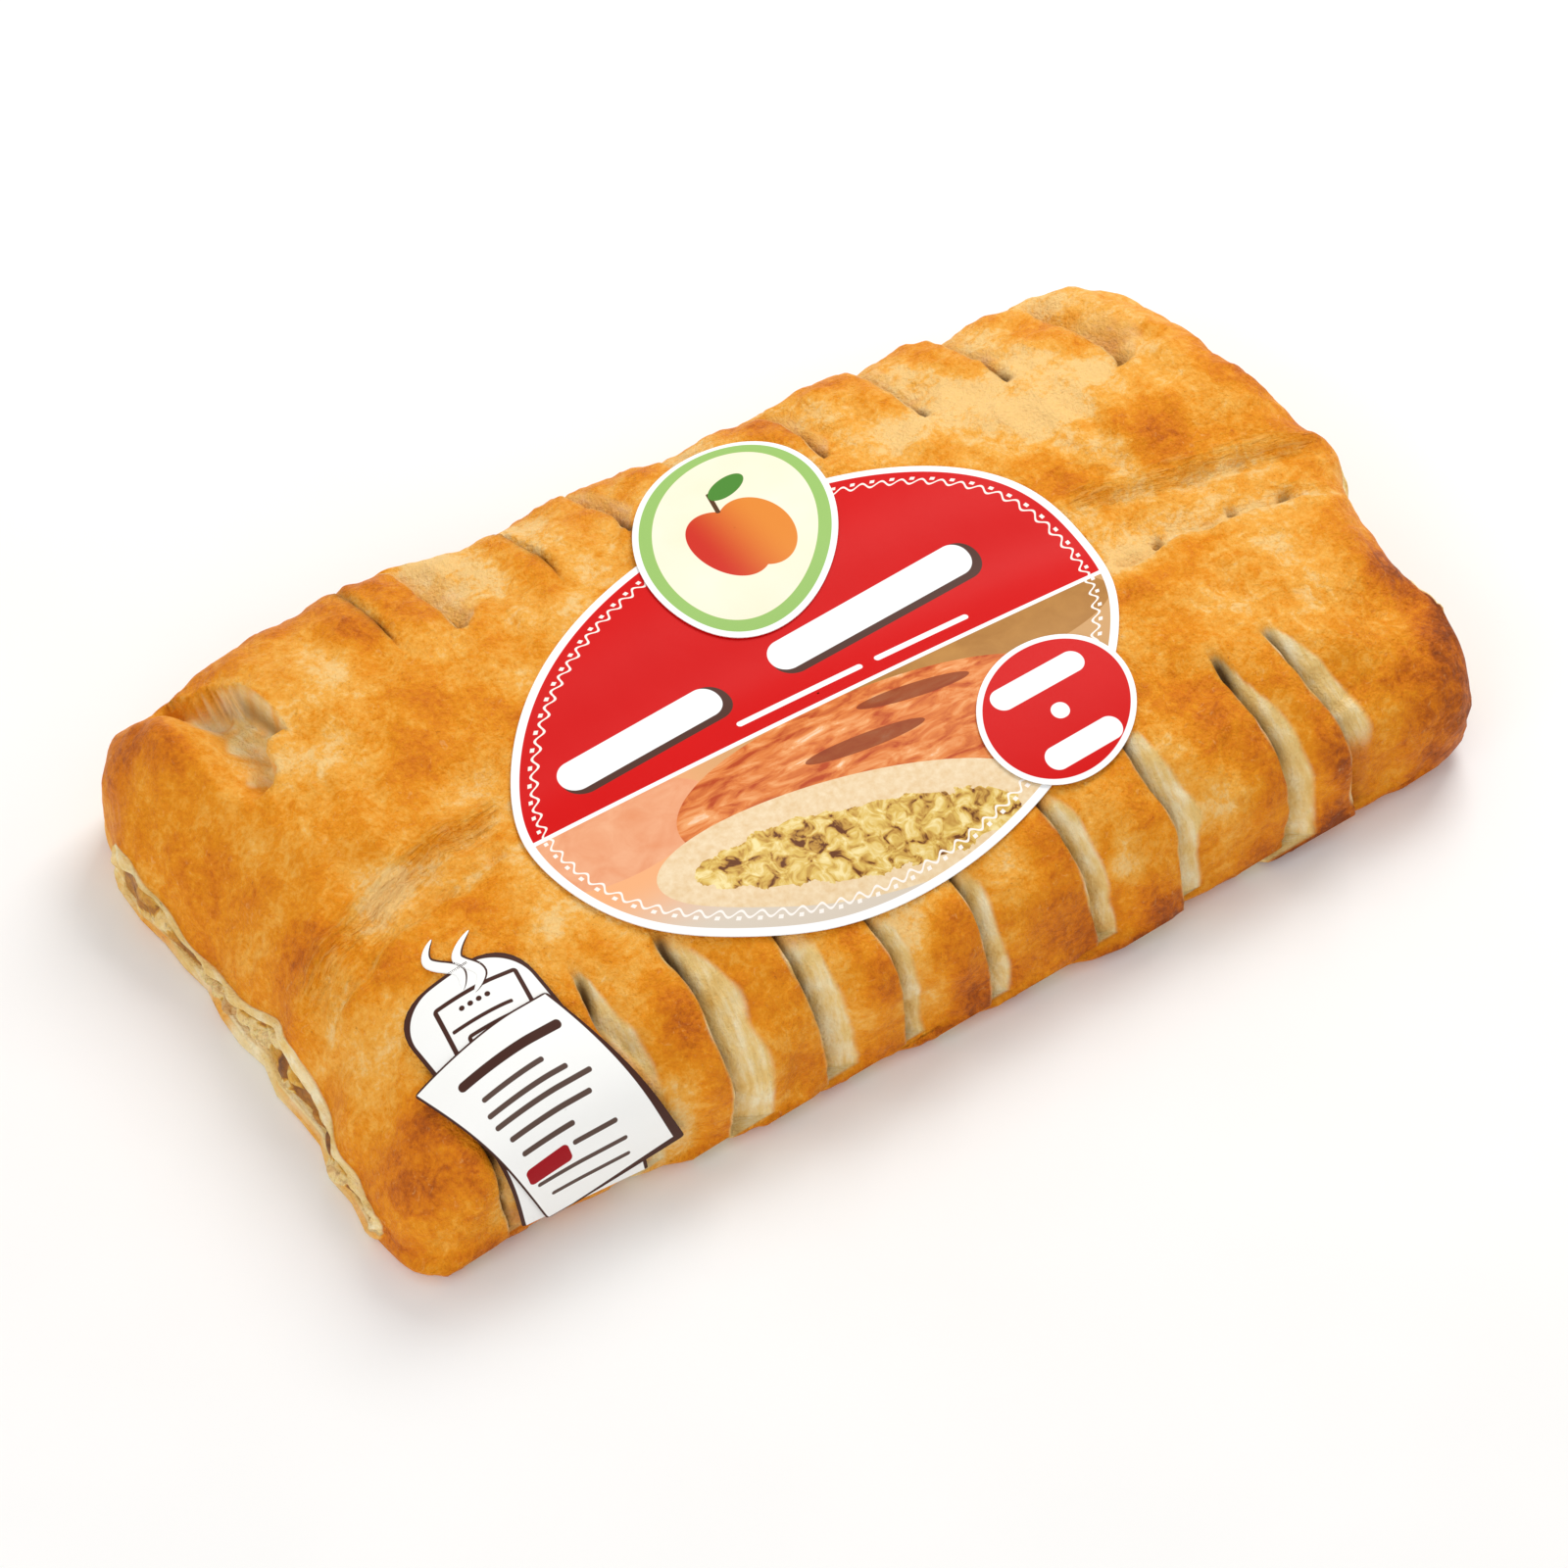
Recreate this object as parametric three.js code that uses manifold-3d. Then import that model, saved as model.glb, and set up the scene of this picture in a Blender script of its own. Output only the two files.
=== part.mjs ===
// A baked apple strudel: one sheet of puff pastry wrapped round a wide slab of apple filling.
// The two long edges of the sheet meet in a pressed seam along the crown. Slanting slits cross
// both flaps from near the crown down to the base, and both short ends are cut straight, so that
// the filling shows between the top crust and the bottom crust. Three printed stickers and a
// note lie on top. Millimetres, +X along the roll, +Y to the rear, +Z up, base on z = 0.
import * as THREE from "three";
import { mergeVertices } from "three/addons/utils/BufferGeometryUtils.js";
import Module from "manifold-3d";

// The roll: plan and section.
const LENGTH = 250;
const HALF = LENGTH / 2;
const FRONT_EDGE = 69; // half width of the front flap at the two ends
const REAR_EDGE = 65.5; // half width of the rear flap at the two ends
const FRONT_BOW = 3.5; // how far the front side swells out at mid length
const REAR_BOW = 7; // how far the rear side swells out at mid length
const CORNER = { frontLeft: 12, rearLeft: 16, frontRight: 12, rearRight: 18 };
const CROWN = 41; // height of the crown over the base
const BELLY = 5; // height of the widest line of the section
const SQUARENESS = 4.7; // exponent of the section: 2 is an ellipse, more is boxier
const BASE_INSET = 4.5; // how far the flat base stands in from the widest line

// The short ends: where the top crust starts to come down, and how roundly.
const LEFT_END = { start: 88, power: 1.6 };
const RIGHT_END = { start: 113, power: 2 };
const END_PINCH = 1.6; // how far the middle of the left end is drawn in

// The crust and the room inside it.
const ROOF = 4.5; // thickness of the top crust
const WALL = 5; // thickness of the sides
const FLOOR = 3.4; // thickness of the bottom crust
const CREVICE = 1.2; // least height of the gap under the pressed lip at an end
const FILLING_GAP = 0.3; // air between the filling and the crust
const FILLING_RECESS = 4; // how far the filling stays back from the cut ends
const OVERSHOOT = 3; // how far a cutting shape runs past what it cuts

// The seam: a shallow pressed valley along the crown.
const SEAM_Y = -2; // where the seam crosses mid length
const SEAM_SWEEP = 14; // how far the seam has drifted to the front at the two ends
const SEAM_DEPTH = 4.2;
const SEAM_WIDTH = 15;

// The slits: place of the lower or inner end along the roll, and opening width.
const FRONT_SLITS = [
  [-102, 7], [-88, 5], [-73, 7], [-52, 9], [-32, 6], [-15, 5],
  [4, 5], [32, 7], [51, 8], [78, 9], [94, 6],
];
const REAR_SLITS = [
  [-99, 14], [-59, 3], [-41, 9], [-22, 3], [-3, 7],
  [18, 4], [41, 6], [65, 6], [84, 7], [107, 12],
];
const FRONT_REACH = [-43, -90]; // a front slit's two ends, round the section from the crown
const REAR_REACH = [46, 88];
const WIDE_SLIT = 11; // from this width on, a slit starts nearer the crown
const WIDE_REACH = 33;
const REAR_LEAN = -8; // how far a rear slit drifts along the roll on its way down
const SLIT_DEPTH = 9; // below the crust's surface
const SLIT_FOOT = 1.4; // width of a slit at its bottom
const TROUGH_DEPTH = 1.6; // how far the crust dips beside a slit
const TROUGH_WIDTH = 5;

// Puffed and sunken places of the crust: [height, x, y, reach along x, reach along y].
const PUFFS = [
  [3.6, 112, 20, 20, 30],
  [5, -114, 52, 12, 14],
  [3.2, -78, 46, 30, 20],
  [-3, 119, -50, 12, 16],
  [2, -40, -52, 16, 14],
];

// The printed sheets. Places are along the roll (x) and round the section from the crown (s).
const SHEET = 0.35; // thickness
const LIFT = 0.65; // height of the lowest sheet over the crust's outline
const STACK = SHEET + 0.6; // one sheet above another
const OVAL = { x: 1.7, s: -11.7, a: 69.8, b: 49.1, turn: 13.3 };
const ROUND_BADGE = { x: 10.6, s: 33.5, a: 20.7, b: 28.7, turn: -34 };
const SMALL_BADGE = { x: 38.9, s: -40.5, a: 18.3, b: 15.3, turn: 31.8 };
const CARD_CORNERS = [[-107, -33.5], [-79.5, -33.5], [-73, -92], [-101, -92]];
const CARD_ROUNDING = [9, 9, 1, 1];
const NOTE_CORNERS = [[-110, -49.6], [-79.5, -47.2], [-65.5, -86.5], [-96, -92.3]];
const NOTE_ROUNDING = [1, 1, 1, 1];

const { clamp, degToRad, lerp } = THREE.MathUtils;
const bell = (distance, reach) => Math.exp(-((distance / reach) ** 2));

// Evenly spaced numbers from start to end, both included.
function spread(start, end, count) {
  return Array.from({ length: count }, (_, i) => lerp(start, end, i / (count - 1)));
}

// ---- the outline of the crust -------------------------------------------------------------

// How far a rounded plan corner stands in from the straight side at x.
function cornerInset(x, leftRadius, rightRadius) {
  const radius = x < 0 ? leftRadius : rightRadius;
  const past = clamp(Math.abs(x) - (HALF - radius), 0, radius);
  return radius - Math.sqrt(Math.max(radius ** 2 - past ** 2, 0));
}

const swell = (x) => 1 - (x / HALF) ** 2;

// The two sides of the widest line at x: the front one is negative.
function sides(x) {
  const front = -(FRONT_EDGE + FRONT_BOW * swell(x)) + cornerInset(x, CORNER.frontLeft, CORNER.frontRight);
  const rear = REAR_EDGE + REAR_BOW * swell(x) - cornerInset(x, CORNER.rearLeft, CORNER.rearRight);
  return { middle: (front + rear) / 2, half: (rear - front) / 2 };
}

// Height of the top crust's cut edge at the left end: two humps, a dip, and the seam's thick end.
function leftLip(y) {
  return 10 + 6 * bell(y - 42, 12) - 2.8 * bell(y - 17, 7) + 5 * bell(y + 13, 9) - 2 * bell(y + 50, 10);
}

const rightLip = (y) => 27 + 2 * Math.cos(y / 9);

// 1 along the middle of the roll, falling to 0 at the two cut ends.
function fullness(x) {
  const end = x < 0 ? LEFT_END : RIGHT_END;
  const run = clamp((Math.abs(x) - end.start) / (HALF - end.start), 0, 1);
  return (1 - run ** end.power) ** (1 / end.power);
}

// A point of the crust's smooth outline. The angle runs from -90 at the front side over the
// crown to 90 at the rear side. Height over the belly follows cos(angle) ^ (2 / squareness).
function outline(x, angle) {
  const { middle, half } = sides(x);
  const y = middle + half * Math.sin(angle);
  const arch = Math.max(Math.cos(angle), 0) ** (2 / SQUARENESS);
  const full = BELLY + (CROWN - BELLY) * arch;
  const edge = x < 0 ? leftLip(y) : rightLip(y);
  const lip = Math.min(BELLY + (edge - BELLY) * Math.min(arch * 1.6, 1), full);
  let z = lip + (full - lip) * fullness(x);
  for (const [height, px, py, reachX, reachY] of PUFFS) {
    z += height * bell(x - px, reachX) * bell(y - py, reachY) * arch * Math.min(1.5 * fullness(x), 1);
  }
  const pinch = x < 0 ? END_PINCH * clamp((-x - 95) / 30, 0, 1) * bell(y + 12, 34) : 0;
  return new THREE.Vector3(x + pinch, y, z);
}

// Section angles against the distance s round the section from the crown, at mid length.
function arcTable() {
  const angles = spread(-Math.PI / 2, Math.PI / 2, 1441);
  const points = angles.map((angle) => outline(0, angle));
  let length = 0;
  const lengths = points.map((point, i) => (length += i ? point.distanceTo(points[i - 1]) : 0));
  const crown = lengths[(angles.length - 1) / 2];
  return angles.map((angle, i) => ({ angle, s: lengths[i] - crown }));
}

const ARC = arcTable();
const FRONT_S = ARC[0].s; // the front side's widest line
const REAR_S = ARC[ARC.length - 1].s;

function angleAt(s) {
  if (s <= FRONT_S || s >= REAR_S) {
    return Math.sign(s) * (Math.PI / 2);
  }
  const next = ARC.findIndex((entry) => entry.s >= s);
  const [a, b] = [ARC[next - 1], ARC[next]];
  return lerp(a.angle, b.angle, (s - a.s) / (b.s - a.s));
}

// How far the real crust lies below that outline: the seam's valley and the slits' troughs.
function sink(x, s) {
  const { y } = outline(x, angleAt(s));
  const seamY = SEAM_Y - SEAM_SWEEP * (x / HALF) ** 2;
  let depth = SEAM_DEPTH * bell(y - seamY, SEAM_WIDTH) * fullness(x);
  for (const slit of SLITS) {
    const along = clamp((s - slit.from) / (slit.to - slit.from), 0, 1);
    const past = Math.abs(s - lerp(slit.from, slit.to, along));
    depth += TROUGH_DEPTH * bell(x - slit.x - slit.lean * along, TROUGH_WIDTH) * bell(past, TROUGH_WIDTH);
  }
  return depth;
}

// The direction straight out of the outline.
function outward(x, angle) {
  const turn = 0.02;
  const step = 0.5;
  const low = clamp(angle - turn, -Math.PI / 2, Math.PI / 2);
  const high = clamp(angle + turn, -Math.PI / 2, Math.PI / 2);
  const round = outline(x, high).sub(outline(x, low));
  const along = outline(Math.min(x + step, HALF), angle).sub(outline(Math.max(x - step, -HALF), angle));
  return along.cross(round).normalize();
}

// ---- slits --------------------------------------------------------------------------------

// The upper ends of the front slits drift to the left of the lower ends, more so to the right.
const frontLean = (x) => 4 + 4 * clamp(x / 60, -1, 1);

function slitList() {
  const front = FRONT_SLITS.map(([x, width]) => ({
    x: x - frontLean(x),
    lean: frontLean(x),
    width,
    from: FRONT_REACH[0],
    to: FRONT_REACH[1],
  }));
  const rear = REAR_SLITS.map(([x, width]) => ({
    x,
    lean: REAR_LEAN,
    width,
    from: width >= WIDE_SLIT ? WIDE_REACH : REAR_REACH[0],
    to: REAR_REACH[1],
  }));
  return [...front, ...rear];
}

const SLITS = slitList();

// ---- building solids ----------------------------------------------------------------------

const wasm = await Module();
wasm.setup();

function meshGeometry(positions, faces) {
  const geometry = new THREE.BufferGeometry();
  geometry.setAttribute("position", new THREE.Float32BufferAttribute(positions, 3));
  geometry.setIndex(faces);
  return geometry;
}

// The closed skin over a row of loops that all have the same number of points.
function skin(loops, capFaces) {
  const size = loops[0].length;
  const positions = loops.flat().flatMap((p) => [p.x, p.y, p.z]);
  const faces = [];
  for (let i = 0; i + 1 < loops.length; i += 1) {
    for (let j = 0; j < size; j += 1) {
      const a = i * size + j;
      const b = i * size + ((j + 1) % size);
      faces.push(a, b, b + size, a, b + size, a + size);
    }
  }
  const last = (loops.length - 1) * size;
  for (const [a, b, c] of capFaces(loops[0])) {
    faces.push(a, c, b);
  }
  for (const [a, b, c] of capFaces(loops[loops.length - 1])) {
    faces.push(last + a, last + b, last + c);
  }
  return meshGeometry(positions, faces);
}

// Triangles over a loop that is wide in y and z, for a cut end of the roll.
function sectionCap(loop) {
  const points = loop.map((p) => new THREE.Vector2(p.y, p.z));
  return THREE.ShapeUtils.triangulateShape(points, []);
}

const quadCap = () => [[0, 1, 2], [0, 2, 3]];

function solidOf(geometry) {
  const merged = mergeVertices(geometry, 1e-4);
  return new wasm.Manifold(
    new wasm.Mesh({
      numProp: 3,
      vertProperties: merged.attributes.position.array,
      triVerts: new Uint32Array(merged.index.array),
    }),
  );
}

function geometryOf(solid) {
  const mesh = solid.getMesh();
  const positions = [];
  for (let i = 0; i < mesh.vertProperties.length; i += mesh.numProp) {
    positions.push(...mesh.vertProperties.subarray(i, i + 3));
  }
  return meshGeometry(positions, Array.from(mesh.triVerts));
}

// Stations along the roll, closer together where the ends come down. The third from each end is
// where the filling stops.
function stations(middleCount) {
  const left = [0, 1.5, FILLING_RECESS, 8, 13, 20].map((inset) => -HALF + inset);
  const right = [11, 7.5, FILLING_RECESS, 1.5, 0].map((inset) => HALF - inset);
  return [...left, ...spread(-HALF + 27, HALF - 16, middleCount), ...right];
}

const CRUST_ROUND = spread(FRONT_S, REAR_S, 27);
const ROOM_ROUND = spread(FRONT_S, REAR_S, 17);

// ---- the pieces ---------------------------------------------------------------------------

// One loop of the crust's outside: over the top from front to rear, then back along the base.
function crustLoop(x) {
  const top = CRUST_ROUND.map((s) => {
    const angle = angleAt(s);
    return outline(x, angle).addScaledVector(outward(x, angle), -sink(x, s));
  });
  const rear = top[top.length - 1];
  const front = top[0];
  const under = [
    new THREE.Vector3(rear.x, rear.y - BASE_INSET * 0.3, BELLY * 0.29),
    new THREE.Vector3(rear.x, rear.y - BASE_INSET, 0),
    new THREE.Vector3(front.x, front.y + BASE_INSET, 0),
    new THREE.Vector3(front.x, front.y + BASE_INSET * 0.3, BELLY * 0.29),
  ];
  return [...top, ...under].reverse();
}

// One loop of the room inside the crust, drawn in by a margin on every side and moved by a shift
// along the roll.
function roomLoop(x, margin, shift = 0) {
  const { middle, half } = sides(x);
  const width = half - WALL - margin;
  const floor = FLOOR + margin;
  const top = ROOM_ROUND.map((s) => {
    const angle = angleAt(s);
    const outside = outline(x, angle);
    const under = outside.z - sink(x, s) - ROOF - margin;
    const height = Math.max(under - floor, CREVICE - 2 * margin);
    return new THREE.Vector3(outside.x + shift, middle + width * Math.sin(angle), floor + height);
  });
  const base = [...top].reverse().filter((_, i) => i % 4 === 0).map((p) => p.clone().setZ(floor));
  return [...top, ...base].reverse();
}

// A wedge that opens one slit: wide at the surface, narrow at the bottom, pointed at both ends.
// Its left wall is the upright, sharp one; its right wall slopes.
function slitCutter(slit) {
  const loops = spread(0, 1, 6).map((along) => {
    const angle = angleAt(lerp(slit.from, slit.to, along));
    const x = slit.x + slit.lean * along;
    const width = slit.width * Math.sin(Math.PI * (0.06 + 0.88 * along)) ** 0.6;
    const out = outward(x, angle);
    const high = outline(x, angle).addScaledVector(out, OVERSHOOT);
    const low = outline(x, angle).addScaledVector(out, -SLIT_DEPTH);
    const foot = Math.min(SLIT_FOOT, width * 0.5);
    const across = (point, offset) => new THREE.Vector3(point.x + offset, point.y, point.z);
    return [
      across(high, -width / 2),
      across(high, width / 2),
      across(low, foot - width / 2),
      across(low, -width / 2),
    ];
  });
  if (slit.to < slit.from) {
    loops.reverse(); // keeps the faces of the front cutters pointing out
  }
  return skin(loops, quadCap);
}

function pastry() {
  const outside = solidOf(skin(stations(28).map(crustLoop), sectionCap));
  const inner = stations(15).map((x) => roomLoop(x, 0));
  const leftMouth = roomLoop(-HALF, 0, -OVERSHOOT);
  const rightMouth = roomLoop(HALF, 0, OVERSHOOT);
  const room = solidOf(skin([leftMouth, ...inner, rightMouth], sectionCap));
  let crust = outside.subtract(room);
  for (const slit of SLITS) {
    crust = crust.subtract(solidOf(slitCutter(slit)));
  }
  return geometryOf(crust);
}

function filling() {
  return skin(stations(15).slice(2, -2).map((x) => roomLoop(x, FILLING_GAP)), sectionCap);
}

// ---- printed sheets -----------------------------------------------------------------------

function lifted(x, s, height) {
  const angle = angleAt(s);
  return outline(x, angle).addScaledVector(outward(x, angle), height);
}

// Border points of a tilted ellipse.
function ellipseBorder({ x, s, a, b, turn }, count) {
  const tilt = degToRad(turn);
  return spread(0, 2 * Math.PI, count + 1).slice(0, count).map((t) => [
    x + a * Math.cos(t) * Math.cos(tilt) - b * Math.sin(t) * Math.sin(tilt),
    s + a * Math.cos(t) * Math.sin(tilt) + b * Math.sin(t) * Math.cos(tilt),
  ]);
}

// Border points of a four-sided card with rounded corners, anticlockwise.
function cardBorder(corners, roundings, perSide) {
  const border = [];
  corners.forEach((corner, i) => {
    const here = new THREE.Vector2(...corner);
    const toPrevious = new THREE.Vector2(...corners[(i + 3) % 4]).sub(here).normalize();
    const next = new THREE.Vector2(...corners[(i + 1) % 4]);
    const toNext = next.clone().sub(here).normalize();
    const start = here.clone().addScaledVector(toPrevious, roundings[i]);
    const end = here.clone().addScaledVector(toNext, roundings[i]);
    const curve = new THREE.QuadraticBezierCurve(start, here, end);
    const nextStart = next.clone().addScaledVector(toNext, -roundings[(i + 1) % 4]);
    const arc = curve.getPoints(3);
    const side = spread(0, 1, perSide + 2).slice(1, -1).map((t) => end.clone().lerp(nextStart, t));
    border.push(...arc, ...side);
  });
  return border.map((p) => [p.x, p.y]).reverse();
}

// A thin sheet that follows the crust's outline: rings from a middle point out to the border.
function sheet(border, rings, level) {
  const count = border.length;
  const middle = [0, 1].map((k) => border.reduce((sum, p) => sum + p[k], 0) / count);
  const low = LIFT + level * STACK;
  const positions = [];
  const faces = [];
  for (const height of [low + SHEET, low]) {
    positions.push(lifted(middle[0], middle[1], height));
    for (let ring = 1; ring <= rings; ring += 1) {
      for (const [x, s] of border) {
        const t = ring / rings;
        positions.push(lifted(lerp(middle[0], x, t), lerp(middle[1], s, t), height));
      }
    }
  }
  const layer = 1 + rings * count;
  for (let j = 0; j < count; j += 1) {
    const k = (j + 1) % count;
    faces.push(0, 1 + j, 1 + k, layer, layer + 1 + k, layer + 1 + j);
    for (let ring = 0; ring + 1 < rings; ring += 1) {
      const a = 1 + ring * count + j;
      const b = 1 + ring * count + k;
      faces.push(a, a + count, b + count, a, b + count, b);
      faces.push(layer + a, layer + b + count, layer + a + count, layer + a, layer + b, layer + b + count);
    }
    const a = layer - count + j;
    const b = layer - count + k;
    faces.push(a, a + layer, b + layer, a, b + layer, b);
  }
  return meshGeometry(positions.flatMap((p) => p.toArray()), faces);
}

// ---- the finished strudel -----------------------------------------------------------------

const crustLook = new THREE.MeshStandardMaterial({ color: 0xdd9a45, roughness: 0.55, metalness: 0 });
const fillingLook = new THREE.MeshStandardMaterial({ color: 0xb98a3c, roughness: 0.45, metalness: 0 });
const redPrint = new THREE.MeshStandardMaterial({ color: 0xdf1e1b, roughness: 0.4, metalness: 0 });
const palePrint = new THREE.MeshStandardMaterial({ color: 0xfdfcf7, roughness: 0.45, metalness: 0 });

const strudel = new THREE.Group();

function addPiece(name, geometry, material) {
  const mesh = new THREE.Mesh(geometry, material);
  mesh.name = name;
  strudel.add(mesh);
}

addPiece("pastry", pastry(), crustLook);
addPiece("filling", filling(), fillingLook);
addPiece("label_oval", sheet(ellipseBorder(OVAL, 32), 5, 0), redPrint);
addPiece("badge_round", sheet(ellipseBorder(ROUND_BADGE, 20), 3, 1), palePrint);
addPiece("badge_small", sheet(ellipseBorder(SMALL_BADGE, 20), 2, 1), redPrint);
addPiece("note_card", sheet(cardBorder(CARD_CORNERS, CARD_ROUNDING, 5), 3, 0), palePrint);
addPiece("note_sheet", sheet(cardBorder(NOTE_CORNERS, NOTE_ROUNDING, 5), 3, 1), palePrint);

export default strudel;
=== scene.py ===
# %% [markdown]
# An apple strudel from a bakery shelf: one sheet of puff pastry wrapped round a wide slab of
# apple filling. The flaps meet in a pressed seam on the crown, slanting slits open both flaps,
# and the two short ends are cut straight. The CAD model says how large everything is and where
# it lies. This script makes the surfaces that the eye reads: crust, cut dough, fruit and print.
# Everything is worked out in millimetres and turned into metres when a mesh is made.

# %% Tools and the CAD frame
import math
import bpy
import numpy as np
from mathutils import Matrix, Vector


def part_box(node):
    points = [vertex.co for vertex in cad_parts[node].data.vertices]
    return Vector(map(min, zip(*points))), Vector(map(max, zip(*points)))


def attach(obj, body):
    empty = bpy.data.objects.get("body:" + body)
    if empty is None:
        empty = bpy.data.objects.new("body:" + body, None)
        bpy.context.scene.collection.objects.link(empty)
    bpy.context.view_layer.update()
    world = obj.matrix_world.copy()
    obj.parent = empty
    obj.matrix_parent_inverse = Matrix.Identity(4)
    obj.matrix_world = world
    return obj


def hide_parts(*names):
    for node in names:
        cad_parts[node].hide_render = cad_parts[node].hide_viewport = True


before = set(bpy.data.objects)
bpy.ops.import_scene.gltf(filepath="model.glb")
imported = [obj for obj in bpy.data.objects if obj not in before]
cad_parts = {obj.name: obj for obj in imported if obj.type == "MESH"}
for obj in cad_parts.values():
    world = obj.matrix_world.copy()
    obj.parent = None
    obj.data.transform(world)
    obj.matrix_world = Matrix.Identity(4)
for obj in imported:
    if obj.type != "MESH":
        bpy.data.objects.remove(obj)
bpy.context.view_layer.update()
MM = 0.001
pastry_low, pastry_high = (np.array(corner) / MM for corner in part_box("pastry"))
print("pastry in the frame, mm:", pastry_low.round(1), pastry_high.round(1))

# %% [markdown]
# A strudel has no straight line in it, but its overall form is a simple one: a plan with
# rounded corners, and a section that is flatter and squarer than an ellipse. Modelling that by
# hand would need a cage of points and a subdivision surface. A formula with two parameters, one
# along the roll and one round the section, is easier to steer: each size below can be changed on
# its own. These are the same sizes as in the CAD source, so the surface lands on its solids.

# %% Sizes of the roll
HALF = pastry_high[0]  # half the length
FRONT_EDGE, REAR_EDGE = 69.0, 65.5  # half widths at the two ends
FRONT_BOW, REAR_BOW = 3.5, 7.0  # how far the long sides swell at mid length
CROWN, BELLY, SQUARENESS = 41.0, 5.0, 4.7
BASE_INSET = 4.5
ROOF, WALL, FLOOR, CREVICE = 4.5, 5.0, 3.4, 1.2
CORNERS = {"front": (12.0, 12.0), "rear": (16.0, 18.0)}  # radii at the left and right end
END_PINCH = 1.6
SEAM_Y, SEAM_SWEEP, SEAM_DEPTH, SEAM_WIDTH = -2.0, 14.0, 4.2, 15.0
PUFFS = (  # height, x, y, reach along x, reach along y
    (3.6, 112, 20, 20, 30),
    (5.0, -114, 52, 12, 14),
    (3.2, -78, 46, 30, 20),
    (-3.0, 119, -50, 12, 16),
    (2.0, -40, -52, 16, 14),
)


def bell(distance, reach):
    """A smooth hill: 1 in the middle, nearly 0 two reaches away."""
    return np.exp(-((distance / reach) ** 2))


def smooth(low, high, value):
    """0 below low, 1 above high, an S curve between."""
    t = np.clip((value - low) / (high - low), 0, 1)
    return t * t * (3 - 2 * t)


def hills(places, x, s):
    """The sum of soft hills over the unrolled crust. A place is its height, x, reach along x,
    s and reach round the section."""
    total = np.zeros(np.broadcast(x, s).shape)
    for height, place_x, reach_x, place_s, reach_s in places:
        total += height * bell(x - place_x, reach_x) * bell(s - place_s, reach_s)
    return total


# %% The outline as a function of place
def corner_inset(x, radii):
    """How far a rounded plan corner stands in from the straight side at x."""
    radius = np.where(x < 0, radii[0], radii[1])
    past = np.clip(np.abs(x) - (HALF - radius), 0, radius)
    return radius - np.sqrt(np.maximum(radius**2 - past**2, 0))


def sides(x):
    """The widest line at x: its middle and half its width."""
    swell = 1 - (x / HALF) ** 2
    front = -(FRONT_EDGE + FRONT_BOW * swell) + corner_inset(x, CORNERS["front"])
    rear = REAR_EDGE + REAR_BOW * swell - corner_inset(x, CORNERS["rear"])
    return (front + rear) / 2, (rear - front) / 2


def lip_height(x, y):
    """Height of the top crust's cut edge at the two ends."""
    left = 10 + 6 * bell(y - 42, 12) - 2.8 * bell(y - 17, 7) + 5 * bell(y + 13, 9) - 2 * bell(y + 50, 10)
    right = 27 + 2 * np.cos(y / 9)
    return np.where(x < 0, left, right)


def fullness(x):
    """1 along the middle of the roll, falling to 0 at the cut ends."""
    left = np.clip((-x - 88) / (HALF - 88), 0, 1) ** 1.6
    right = np.clip((x - 113) / (HALF - 113), 0, 1) ** 2
    return np.where(x < 0, (1 - left) ** (1 / 1.6), (1 - right) ** 0.5)


def outline(x, angle):
    """The crust's smooth outline: y follows the sine of the section angle, and the height over
    the belly follows its cosine to the power 2 / squareness, pulled down to the lip at the ends."""
    middle, half = sides(x)
    y = middle + half * np.sin(angle)
    arch = np.maximum(np.cos(angle), 0) ** (2 / SQUARENESS)
    full = BELLY + (CROWN - BELLY) * arch
    lip = np.minimum(BELLY + (lip_height(x, y) - BELLY) * np.minimum(arch * 1.6, 1), full)
    z = lip + (full - lip) * fullness(x)
    for height, px, py, reach_x, reach_y in PUFFS:
        puff = height * bell(x - px, reach_x) * bell(y - py, reach_y)
        z = z + puff * arch * np.minimum(1.5 * fullness(x), 1)
    pinch = np.where(x < 0, END_PINCH * np.clip((-x - 95) / 30, 0, 1) * bell(y + 12, 34), 0)
    return np.stack([x + pinch, y, z], -1)


# Distance s round the section from the crown, at mid length, against the section angle.
ARC_ANGLES = np.linspace(-np.pi / 2, np.pi / 2, 1441)
arc_steps = np.linalg.norm(np.diff(outline(np.zeros(1441), ARC_ANGLES), axis=0), axis=1)
ARC_S = np.concatenate([[0], np.cumsum(arc_steps)])
ARC_S -= ARC_S[720]
FRONT_S, REAR_S = ARC_S[0], ARC_S[-1]


def angle_at(s):
    """The section angle at a distance s round the section from the crown."""
    return np.interp(s, ARC_S, ARC_ANGLES)


def seam_y(x):
    """Where the seam's valley runs: behind the middle line, sweeping forward at the ends."""
    return SEAM_Y - SEAM_SWEEP * (x / HALF) ** 2


print("round the section from side to side, mm:", round(REAR_S - FRONT_S, 1))

# %% [markdown]
# The slits. Each one is a cut through the dough that the rising crust has pulled open. The
# strip on its left ends in a crisp browned edge that hangs over a little. To its right the cut
# face slopes back up, pale because it was inside the dough while the outside browned. So a slit
# is a groove with one steep and one gentle wall. The grid lines of the crust are bent to run
# along the slits and crowd together at their steep walls: that gives clean edges with few points.

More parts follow.
